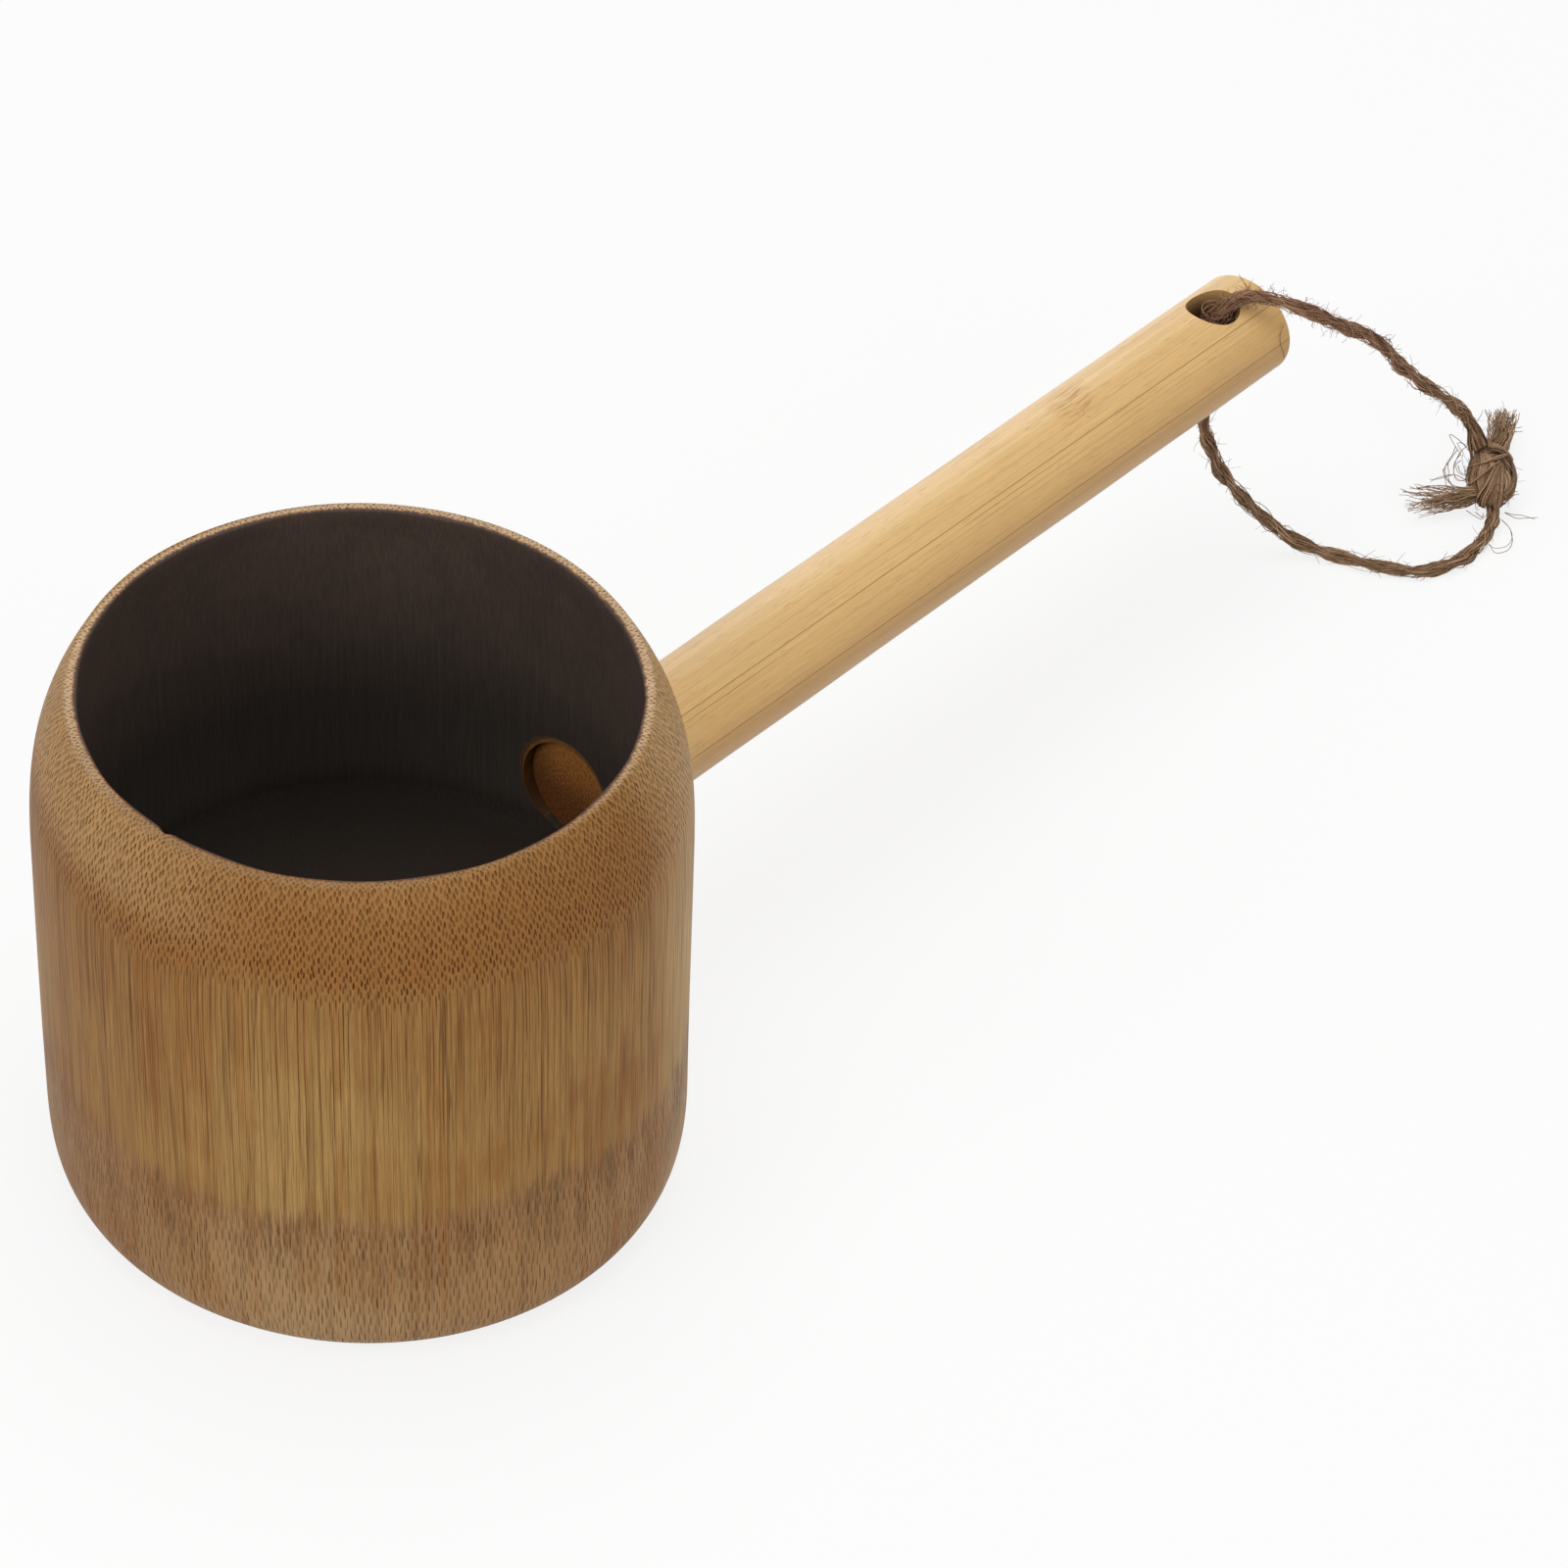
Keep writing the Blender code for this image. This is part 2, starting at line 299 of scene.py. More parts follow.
    def group(self, shared: bpy.types.NodeTree, **values: Feed) -> dict[str, Value]:
        """Place a shared node group.

        Args:
            shared: the group's tree.
            **values: its inputs.

        Returns:
            Its outputs by name.
        """
        made = self.node("ShaderNodeGroup", node_tree=shared)
        for name, value in values.items():
            self.feed(made.inputs[name], value)
        return {socket.name: Value(self, socket) for socket in made.outputs}

    def seen_directly(self) -> Value:
        """Mark the rays that show a background.

        Returns:
            1 for a ray from the camera, off gloss or through glass.
        """
        path = self.node("ShaderNodeLightPath").outputs
        mirrored = self.larger(path["Is Glossy Ray"], path["Is Transmission Ray"])
        return self.larger(path["Is Camera Ray"], mirrored)


def new_group(name: str, inputs: dict[str, str], outputs: tuple[str, ...]
              ) -> tuple[Graph, dict[str, Value | Socket], bpy.types.Node]:
    """Start a shared node group.

    Args:
        name: the group's name.
        inputs: kind (Float or Vector) of each input by name.
        outputs: name of each output, all numbers.

    Returns:
        Its graph, its inputs by name and its output node.
    """
    tree = bpy.data.node_groups.new(name, "ShaderNodeTree")
    graph = Graph(tree)
    for socket, kind in inputs.items():
        tree.interface.new_socket(name=socket, in_out='INPUT', socket_type="NodeSocket" + kind)
    for socket in outputs:
        tree.interface.new_socket(name=socket, in_out='OUTPUT', socket_type="NodeSocketFloat")
    entry = graph.node("NodeGroupInput")
    given = {socket: Value(graph, entry.outputs[socket]) if kind == "Float" else entry.outputs[socket]
             for socket, kind in inputs.items()}
    return graph, given, graph.node("NodeGroupOutput")


class SharedEffects:
    """Node groups that the materials share, each built once."""

    def __init__(self) -> None:
        """Build every group."""
        self.bundles = self._bundles()
        self.flecks = self._flecks()
        self.blotches = self._blotches()
        self.fibres = self._fibres()

    def cloud(self, graph: Graph, place: Socket, scale: float) -> Value:
        """Place slow, cloudy variation from -1 to 1."""
        return graph.group(self.blotches, Place=place, Scale=scale)["Value"]

    def streaks(self, graph: Graph, place: Socket, scale: float, length: float) -> Value:
        """Place fine streaks from -1 to 1, stretched by a length."""
        return graph.group(self.fibres, Place=place, Scale=scale, Length=length)["Value"]

    @staticmethod
    def _flecks() -> bpy.types.NodeTree:
        """Build rows of pointed flecks, every other row set half a column aside.

        Returns:
            A group that marks the dark flecks on a surface counted in columns and rows.
        """
        graph, given, result = new_group(
            "Bamboo flecks",
            dict.fromkeys(("Column", "Row", "Columns", "Width", "Height", "Hollow"), "Float"),
            ("Dark", "Pale"))
        dark: list[Value] = []
        pale: list[Value] = []
        for offset in (0.0, 0.5):
            column = given["Column"] - offset
            whole = graph.math('ROUND', column)
            row = given["Row"] * 0.5 - offset
            level = graph.math('ROUND', row)
            own = graph.combine(graph.math('WRAP', whole, given["Columns"], 0.0), level + 70.0 * offset, 0.0)
            chance = graph.node("ShaderNodeTexWhiteNoise", noise_dimensions='2D')
            graph.feed(chance.inputs["Vector"], own)
            side, rise, power = graph.separate(chance.outputs["Color"])
            along = ((row - level) * 2.0 + (rise * 0.44 - 0.22)) / given["Height"]
            taper = along * -0.35 + 0.9
            across = abs((column - whole + (side * 0.36 - 0.18)) / (given["Width"] * taper))
            reach = across * across + along * along
            heart = graph.ramp(across, 0.55, 0.1) * graph.ramp(along, 0.35, -0.1) * given["Hollow"]
            body = graph.ramp(reach, 1.0, 0.35) * (1.0 - heart)
            dark.append(body * (power * 0.55 + 0.45))
            pale.append(graph.ramp(reach, 0.9, 1.3) * graph.ramp(reach, 3.6, 1.6))
        graph.feed(result.inputs["Dark"], graph.larger(*dark))
        graph.feed(result.inputs["Pale"], graph.larger(*pale))
        return graph.tree

    @staticmethod
    def _bundles() -> bpy.types.NodeTree:
        """Build the fibre bundles of bamboo, cut across by a plane.

        Returns:
            A group that marks each bundle's dark caps and the pale ground beside it.
        """
        graph, given, result = new_group(
            "Bamboo bundles",
            {"Plane": "Vector", "Outward": "Vector", "Cell": "Float", "Width": "Float", "Height": "Float"},
            ("Dark", "Pale"))
        cells = graph.node("ShaderNodeTexVoronoi", voronoi_dimensions='2D', feature='F1')
        graph.feed(cells.inputs["Vector"], given["Plane"])
        graph.feed(cells.inputs["Scale"], 1.0 / given["Cell"])
        cells.inputs["Randomness"].default_value = 0.72
        away = graph.vector('SUBTRACT', given["Plane"], cells.outputs["Position"])
        out_x, out_y, _ = graph.separate(given["Outward"])
        across = graph.dot(away, graph.combine(out_y * -1.0, out_x, 0.0)) / given["Width"]
        along = graph.dot(away, given["Outward"]) / given["Height"]
        reach = graph.math('SQRT', across * across + along * along)
        caps = graph.ramp(abs(along), 0.10, 0.52)
        sheath = graph.ramp(abs(across), 0.25, 0.8, 0.0, 0.6)
        chance, _, _ = graph.separate(cells.outputs["Color"])
        dark = graph.ramp(reach, 1.0, 0.72) * graph.larger(caps, sheath) * (chance * 0.45 + 0.62)
        graph.feed(result.inputs["Dark"], dark)
        graph.feed(result.inputs["Pale"], graph.ramp(reach, 0.95, 1.15) * graph.ramp(reach, 1.75, 1.3))
        return graph.tree

    @staticmethod
    def _blotches() -> bpy.types.NodeTree:
        """Build slow, cloudy variation.

        Returns:
            A group whose Value goes from about -1 to 1.
        """
        graph, given, result = new_group("Blotches", {"Place": "Vector", "Scale": "Float"}, ("Value",))
        cloud = graph.noise(given["Place"], given["Scale"], 3.0, 0.55)
        graph.feed(result.inputs["Value"], graph.ramp(cloud, 0.30, 0.70, -1.0, 1.0))
        return graph.tree

    @staticmethod
    def _fibres() -> bpy.types.NodeTree:
        """Build fine streaks that run along a material's third axis.

        Returns:
            A group whose Value goes from -1 to 1; Length stretches each streak.
        """
        graph, given, result = new_group(
            "Fine fibres", {"Place": "Vector", "Scale": "Float", "Length": "Float"}, ("Value",))
        x, y, z = graph.separate(given["Place"])
        streak = graph.noise(graph.combine(x, y, z / given["Length"]), given["Scale"], 3.0, 0.62)
        graph.feed(result.inputs["Value"], graph.ramp(streak, 0.28, 0.72, -1.0, 1.0))
        return graph.tree


@dataclass(frozen=True)
class Finish:
    """What every finish states: its roughness, its specular level and how strongly its relief shows."""

    roughness: float = 0.5
    specular: float = 0.5
    relief: float = 1.0


class Surface:
    """One material while it is built, with its graph and its Principled shader."""

    def __init__(self, name: str) -> None:
        """Start the material.

        Args:
            name: its name.
        """
        self.material = bpy.data.materials.new(name)
        self.material.use_nodes = True
        self.graph = Graph(self.material.node_tree)
        self.shader = self.graph.node("ShaderNodeBsdfPrincipled")
        output = self.graph.node("ShaderNodeOutputMaterial")
        self.graph.tree.links.new(self.shader.outputs[0], output.inputs[0])

    def place_mm(self, centre: Point = (0.0, 0.0, 0.0)) -> Socket:
        """Give the surface point in millimetres from a centre.

        Args:
            centre: the centre.

        Returns:
            The point.
        """
        scaled = self.graph.node("ShaderNodeVectorMath", operation='SCALE')
        self.graph.feed(scaled.inputs[0], self.graph.node("ShaderNodeTexCoord").outputs["Object"])
        scaled.inputs["Scale"].default_value = 1.0 / MM
        return self.graph.vector('SUBTRACT', scaled.outputs["Vector"], centre)

    def dress(self, colour: Socket, roughness: Feed, height: Feed, finish: Finish) -> None:
        """Feed the shader.

        Args:
            colour: the base colour.
            roughness: the roughness.
            height: a relief in millimetres.
            finish: says how strongly the relief shows and how much the surface shines.
        """
        bump = self.graph.node("ShaderNodeBump")
        bump.inputs["Strength"].default_value = finish.relief
        bump.inputs["Distance"].default_value = MM
        self.graph.feed(bump.inputs["Height"], height)
        self.graph.feed(self.shader.inputs["Normal"], bump.outputs[0])
        self.graph.feed(self.shader.inputs["Base Color"], colour)
        self.graph.feed(self.shader.inputs["Roughness"], roughness)
        self.shader.inputs["Specular IOR Level"].default_value = finish.specular


@dataclass(frozen=True)
class CulmFinish(Finish):
    """Oiled brown bamboo outside, matt near-black lacquer inside, bare wood in the handle's bore."""

    ground: Stops = (
        (0.00, from_srgb(173, 140, 101)),
        (0.20, from_srgb(171, 137, 95)),
        (0.30, from_srgb(167, 131, 92)),
        (0.36, from_srgb(170, 134, 80)),
        (0.62, from_srgb(169, 132, 78)),
        (0.80, from_srgb(158, 117, 66)),
        (0.86, from_srgb(143, 94, 45)),
        (0.95, from_srgb(147, 100, 50)),
        (1.00, from_srgb(160, 116, 66)),
    )
    ruddy: Colour = from_srgb(142, 93, 46)
    # Painted shade on the left side of the wall.
    left_shade: Colour = (0.74, 0.62, 0.44)
    fleck: Colour = from_srgb(74, 38, 14)
    streak: Colour = from_srgb(98, 62, 34)
    pale: Colour = from_srgb(204, 168, 118)
    stain: Colour = from_srgb(110, 78, 46)
    rim_ground: Colour = from_srgb(206, 176, 141)
    # Painted shade on the rim's side turned to the camera.
    rim_near_shade: Colour = from_srgb(158, 122, 82)
    rim_dot: Colour = from_srgb(92, 62, 38)
    lacquer_floor: Colour = from_srgb(61, 54, 48)
    lacquer: Colour = from_srgb(68, 62, 56)
    lacquer_warm: Colour = from_srgb(90, 75, 67)
    bare: Colour = from_srgb(150, 108, 62)
    bare_edge: Colour = from_srgb(104, 72, 46)
    edge_line: Colour = from_srgb(112, 62, 40)
    diaphragm: Colour = from_srgb(158, 124, 82)
    columns: int = 300
    # Painted shade: the wall turns darker and redder around these two directions, either side of the face
    # turned to the camera.
    ruddy_shaded_sides: tuple[float, ...] = (math.radians(172.0), math.radians(-97.0))
    near_side: float = math.radians(221.0)
    left_side: float = math.radians(140.0)
    shoulder_band: tuple[float, float] = (79.0, 73.0)
    node_band: tuple[float, float] = (26.5, 31.0)
    roughness: float = 0.46
    specular: float = 0.05
    relief: float = 0.8

    def make(self, cup: Cup, handle: Handle, effects: SharedEffects) -> bpy.types.Material:
        """Build the cup's material; the handle's bore stays bare."""
        return CulmSurface(self, cup, handle, effects).build()


class CulmSurface(Surface):
    """The cup's material while it is built; each measure and pattern is made once and used by every step."""

    def __init__(self, finish: CulmFinish, cup: Cup, handle: Handle, effects: SharedEffects) -> None:
        """Measure the surface and lay out its patterns.

        Args:
            finish: the colours.
            cup: sizes of the cup.
            handle: sizes of the handle.
            effects: the shared groups.
        """
        super().__init__("brown_bamboo_and_lacquer")
        self.finish, self.cup, self.handle = finish, cup, handle
        graph = self.graph
        place = self.place_mm((cup.x, 0.0, 0.0))
        self.x, self.y, self.z = graph.separate(place)
        from_axis = graph.combine(self.x, self.y, 0.0)
        self.radius = graph.length(from_axis)
        self.outward = graph.vector('NORMALIZE', from_axis)
        self.out_x, self.out_y, _ = graph.separate(self.outward)

        slow = self.noise(2.4, 0.01)
        scallop = self.noise(9.0, 0.02, 1.0, 8.0)
        self.ragged = self.noise(48.0, 0.02, 1.0, 3.0)
        self.edge = slow * 7.0 + self.ragged * 6.0 + scallop * 4.0 - 8.5
        self.calm = self.z + (slow * 7.0 + scallop * 3.0 - 5.0)
        self.node_level = self.z + self.edge * 0.75
        self.on_body = (graph.ramp(self.z + self.edge, *finish.shoulder_band)
                        * graph.ramp(self.node_level, *finish.node_band))

        self.fine = effects.streaks(graph, place, 3.0, 30.0)
        self.hair = effects.streaks(graph, place, 8.0, 22.0)
        self.wide = effects.streaks(graph, place, 0.5, 60.0)
        self.blotch = effects.cloud(graph, place, 0.04)
        self.patch = effects.cloud(graph, graph.vector('ADD', place, (31.0, 7.0, 3.0)), 0.13)
        self.flecks = self.lay_flecks(effects)
        self.lines = self.lay_lines()

    def noise(self, per_turn: float, per_mm: float, detail: float = 2.0, start: float = 0.0) -> Value:
        """Look up noise on the wall.

        Args:
            per_turn: how fast it changes around the wall.
            per_mm: how fast it changes up the wall.
            detail: how many finer layers it has.
            start: picks another pattern.

        Returns:
            A number from 0 to 1.
        """
        spot = self.graph.combine(self.out_x * per_turn, self.out_y * per_turn, self.z * per_mm + start)
        return self.graph.noise(spot, 1.0, detail)

    def facing(self, angle: float) -> Value:
        """Tell how squarely the wall faces a direction, from -1 to 1."""
        return self.graph.dot(self.outward, (math.cos(angle), math.sin(angle), 0.0))

    def lay_flecks(self, effects: SharedEffects) -> dict[str, Value]:
        """Lay the flecks where turning cuts the fibre bundles aslant: on shoulder, foot and rim.

        Args:
            effects: the shared groups.

        Returns:
            The dark flecks and the pale ground beside them.
        """
        graph, z = self.graph, self.z
        rise = graph.math('POWER', graph.math('SMOOTH_MAX', self.calm - 74.0, 0.0, 2.5), 1.25)
        low = graph.math('SMOOTH_MAX', 29.5 - self.calm, 0.0, 2.0)
        inward = graph.larger(self.cup.rim_radius - self.radius, 0.0)
        row = rise * 0.51 - low * 0.40 + inward * 1.9 + z * 0.02
        row = row + (self.noise(16.0, 0.035, 2.0, 5.0) * 3.0 - 1.5)
        around = graph.math('ARCTAN2', self.y, self.x)
        sway = self.noise(30.0, 0.12, 1.0, 1.0) - 0.5
        column = around * (self.finish.columns / FULL_TURN) + sway * graph.ramp(z, 34.0, 26.0, 0.25, 0.75)
        width = graph.ramp(z, 40.0, 70.0, 0.155, 0.22) + graph.ramp(z, 80.0, 91.0, 0.0, 0.05)
        width = width - self.on_body * 0.09
        return graph.group(effects.flecks, Column=column, Row=row, Columns=float(self.finish.columns),
                           Width=width, Height=0.72, Hollow=graph.ramp(z, 76.0, 90.0, 0.1, 0.6))

    def lay_lines(self) -> Value:
        """Lay the long dark streaks that bundles leave on the straight wall.

        Returns:
            The streaks.
        """
        graph = self.graph
        broad = graph.ramp(abs(self.noise(82.0, 0.013, 1.5, 11.0) - 0.5), 0.045, 0.006)
        narrow = graph.ramp(abs(self.noise(150.0, 0.025, 1.0, 23.0) - 0.48), 0.035, 0.004, 0.0, 0.75)
        broken = graph.ramp(self.noise(30.0, 0.028, 2.0, 40.0), 0.36, 0.62, 0.18, 1.0)
        return graph.larger(broad, narrow) * broken

    def wall(self) -> Socket:
        """Colour the outside without its flecks.

        Returns:
            The colour.
        """
        graph, finish, z = self.graph, self.finish, self.z
        colour = graph.stops((z + self.edge * 0.7) / self.cup.height, finish.ground)
        warm = graph.ramp(self.blotch + self.wide * 0.9, -0.3, 1.5, 0.0, 0.5)
        # Random blotches and broad streaks warm the wall; on top of that, painted shade makes it darker and
        # redder towards both sides of the face turned to the camera.
        for angle in finish.ruddy_shaded_sides:
            warm = warm + graph.ramp(self.facing(angle), 0.80, 1.0, 0.0, 0.38)
        colour = graph.mix(warm, colour, finish.ruddy)
        left = self.facing(finish.left_side)
        # Painted shade: the wall's left side below the shoulder is darkened and warmed.
        left_shade = graph.ramp(left, 0.55, 0.98, 0.0, 0.40) * graph.ramp(z, 82.0, 66.0)
        colour = graph.mix(left_shade, colour, graph.mix(1.0, colour, finish.left_shade, 'MULTIPLY'))
        # Painted sheen: the left shoulder and the right side of the wall are lightened towards the pale
        # colour.
        shoulder = graph.ramp(left, 0.3, 0.95) * graph.ramp(z, 76.0, 84.0, 0.0, 0.45)
        far_side_sheen = graph.ramp(left * -1.0, 0.77, 0.98) * graph.ramp(z, 20.0, 56.0, 0.14, 0.64)
        colour = graph.mix(graph.larger(shoulder, far_side_sheen), colour, finish.pale)

        jagged = self.node_level + self.fine * 2.0
        stained = graph.ramp(jagged, 32.0, 29.0) * graph.ramp(jagged, 8.0, 26.0)
        stained = stained * graph.ramp(self.noise(13.0, 0.09, 2.0, 60.0), 0.36, 0.62, 0.10, 0.74)
        stained = stained * graph.ramp(self.noise(105.0, 0.06, 2.0, 71.0), 0.36, 0.60, 0.12, 1.0)
        colour = graph.mix(stained, colour, finish.stain)
        grain = (self.fine * 0.13 + self.hair * 0.09) * (self.on_body * 0.62 + 0.38)
        colour = graph.shade(colour, self.wide * 0.05 + 1.0 + grain)
        colour = graph.mix(self.flecks["Pale"] * 0.12, colour, finish.pale)
        seen = graph.math('ADD', self.on_body * 0.58, graph.ramp(z, 27.0, 34.0, 0.42, 0.08), clamp=True)
        return graph.mix(self.lines * graph.math('MINIMUM', seen, 0.66), colour, finish.streak)

    def rim_and_flecks(self, colour: Socket, spots: Value) -> Socket:
        """Lay the flat rim and the dark flecks over the wall.

        Args:
            colour: the wall's colour.
            spots: the dark flecks.

        Returns:
            The colour.
        """
        graph, finish, cup = self.graph, self.finish, self.cup
        on_rim = (graph.ramp(self.z, cup.height - 0.42, cup.height - 0.15)
                  * graph.ramp(self.radius, cup.rim_radius + 0.15, cup.rim_radius - 0.65))
        # Painted light and shade: the flat rim is lighter on its far side and darker on the side turned to
        # the camera.
        near = graph.ramp(self.facing(finish.near_side), 0.0, 0.9)
        tone = graph.mix(near, finish.rim_ground, finish.rim_near_shade)
        tone = graph.shade(tone, self.hair * 0.07 + (self.patch * 0.05 + 1.0))
        colour = graph.mix(on_rim * 0.9, colour, tone)
        return graph.mix(spots, colour, graph.mix(on_rim, finish.fleck, finish.rim_dot))

    def find_inside(self) -> tuple[Value, Value]:
        """Find the bowl's inside, whose mouth is slightly oval and has a ragged edge.

        Returns:
            The inside, and the fine line along the rim's inner edge.
        """
        graph, cup, z = self.graph, self.cup, self.z
        doubled = self.out_x * self.out_x - self.out_y * self.out_y
        radius = doubled * (cup.oval * cup.mouth_radius / cup.foot_radius) + self.radius
        past_edge = (cup.mouth_radius + 0.34) - radius + (self.ragged * 0.6 - 0.3)
        below = graph.ramp(z, cup.height - 0.5, cup.height - 0.8)
        below = below * graph.ramp(radius, cup.radius - 1.6, cup.radius - 1.8)
        below = below * graph.ramp(radius - ((cup.height - z) * 0.32 + (cup.rim_radius - 0.9)), 0.1, -0.1)
        inside = graph.larger(graph.ramp(past_edge, -0.05, 0.08), below)
        inside = inside * graph.ramp(z, cup.floor - 3.0, cup.floor - 2.0)
        return inside, graph.ramp(past_edge, -0.36, -0.12) * graph.ramp(z, 91.0, 91.4)

    def lacquer(self, cloud: Value) -> Socket:
        """Colour the bowl's inside.

        Args:
            cloud: slow variation from 0 to 1.

        Returns:
            The colour.
        """
        graph, finish, z, floor = self.graph, self.finish, self.z, self.cup.floor
        coat = graph.mix(graph.ramp(z, floor + 2.0, floor + 8.0), finish.lacquer_floor, finish.lacquer)
        coat = graph.mix((cloud * 0.3 + 0.7) * graph.ramp(z, 42.0, 84.0), coat, finish.lacquer_warm)
        # Painted light: the low wall just above the floor is lightened where the corner's shade falls.
        corner = graph.ramp(z, floor + 0.5, floor + 4.0) * graph.ramp(z, floor + 22.0, floor + 5.0)
        return graph.shade(coat, (self.fine * 0.12 + (self.hair * 0.08 + 1.0)) * (corner * 0.60 + 1.0))

    def bare_bore(self) -> tuple[Value, Socket]:
        """Find the bore's bare wood, with a ragged crescent scraped off the lacquer beside it.

        Returns:
            The bare wood and its colour.
        """
        graph, finish, handle = self.graph, self.finish, self.handle
        from_axis = graph.length(graph.combine(0.0, self.y - handle.y, self.z - handle.z))
        chipped = self.noise(60.0, 0.55, 3.0, 15.0)
        scraped = chipped * 1.5 + graph.ramp(self.y, handle.y - 1.0, handle.y + 7.5, -0.6, 0.15)
        scraped = graph.larger(scraped + (handle.radius - 0.25), handle.radius + 0.2)
        bored = graph.ramp(from_axis - scraped, 0.22, -0.05) * graph.ramp(self.x, 30.0, 31.0)
        coarse = graph.ramp(chipped, 0.30, 0.70) * 0.5
        edge = graph.ramp(from_axis, handle.radius + 0.05, handle.radius + 0.35, coarse, 1.0)
        return bored, graph.mix(edge, finish.bare, finish.bare_edge)

    def build(self) -> bpy.types.Material:
        """Put the steps together.

        Returns:
            The cup's material.
        """
        graph, finish, z, floor = self.graph, self.finish, self.z, self.cup.floor
        spots = self.flecks["Dark"] * (graph.ramp(z, 20.0, 60.0, 0.66, 0.95) - self.on_body * 0.20)
        colour = self.rim_and_flecks(self.wall(), spots)
        inside, lip = self.find_inside()
        colour = graph.mix(lip * 0.7, colour, finish.edge_line)
        bored, bare = self.bare_bore()
        inside = inside * (1.0 - bored)
        cloud = graph.ramp(self.patch, -1.0, 1.0)
        colour = graph.mix(bored, colour, bare)
        colour = graph.mix(inside, colour, self.lacquer(cloud))
        under = graph.ramp(self.radius, 32.0, 26.0) * graph.ramp(z, floor - 1.0, floor - 2.0)
        ringed = graph.noise(graph.combine(self.radius * 0.35, 0.0, 0.0), 1.0, 3.0)
        plain = graph.shade(finish.diaphragm, ringed * 0.30 + (self.patch * 0.07 + 0.85))
        colour = graph.mix(under, colour, plain)

        outside = 1.0 - inside
        polish = spots * 0.10 + finish.roughness + self.hair * 0.05
        matt = cloud * 0.06 + graph.ramp(z, floor + 4.0, floor + 26.0, 0.95, 0.60)
        relief = (spots * -0.03 + self.lines * -0.02) * graph.math('SUBTRACT', outside, under, clamp=True)
        self.dress(colour, polish * outside + matt * inside, relief + self.fine * 0.008, finish)
        return self.material


@dataclass(frozen=True)
class StripFinish(Finish):
    """Pale laminated bamboo with a satin surface, a node's trace on the upper strip."""

    # Painted light and shade across the bar: darker at its lower edge, lighter at its upper edge.
    shaded_tones: Stops = (
        (0.00, from_srgb(186, 144, 88)),
        (0.10, from_srgb(195, 150, 90)),
        (0.20, from_srgb(214, 170, 106)),
        (0.30, from_srgb(218, 177, 114)),
        (0.45, from_srgb(223, 184, 122)),
        (0.62, from_srgb(218, 179, 119)),
        (0.73, from_srgb(222, 182, 122)),
        (0.80, from_srgb(232, 197, 140)),
        (0.88, from_srgb(244, 208, 156)),
        (1.00, from_srgb(250, 214, 163)),
    )
    strip_tints: tuple[float, float, float] = (0.965, 1.0, 1.015)
    honey: Colour = from_srgb(206, 162, 102)
    green: Colour = from_srgb(206, 190, 126)
    line: Colour = from_srgb(152, 108, 62)
    mark: Colour = from_srgb(172, 120, 62)
    pale: Colour = from_srgb(240, 212, 168)
    end_grain: Colour = from_srgb(222, 150, 74)
    end_dots: Colour = from_srgb(124, 72, 42)
    # Painted light near the top of the hanging hole and painted shade deeper in it.
    bore_lit_top: Colour = from_srgb(214, 168, 108)
    bore_shade: Colour = from_srgb(98, 62, 38)
    growth_lines: tuple[tuple[float, float], ...] = (
        (2.45, 0.75), (1.55, 0.35), (-2.3, 0.4), (-5.2, 0.5), (6.1, 0.35),
    )
    node_x: float = 83.6
    node_arc: tuple[float, float] = (14.0, 24.5)
    curls: tuple[tuple[float, float, float], ...] = ((82.7, 22.3, 0.70), (83.2, 23.8, 0.15))
    speck: Point = (-7.02, -6.25, 93.35)
    roughness: float = 0.42
    specular: float = 0.36
    relief: float = 0.8

    def make(self, cup: Cup, handle: Handle, effects: SharedEffects) -> bpy.types.Material:
        """Build the handle's material; the cup's wall tints the handle beside it."""
        return StripSurface(self, cup, handle, effects).build()


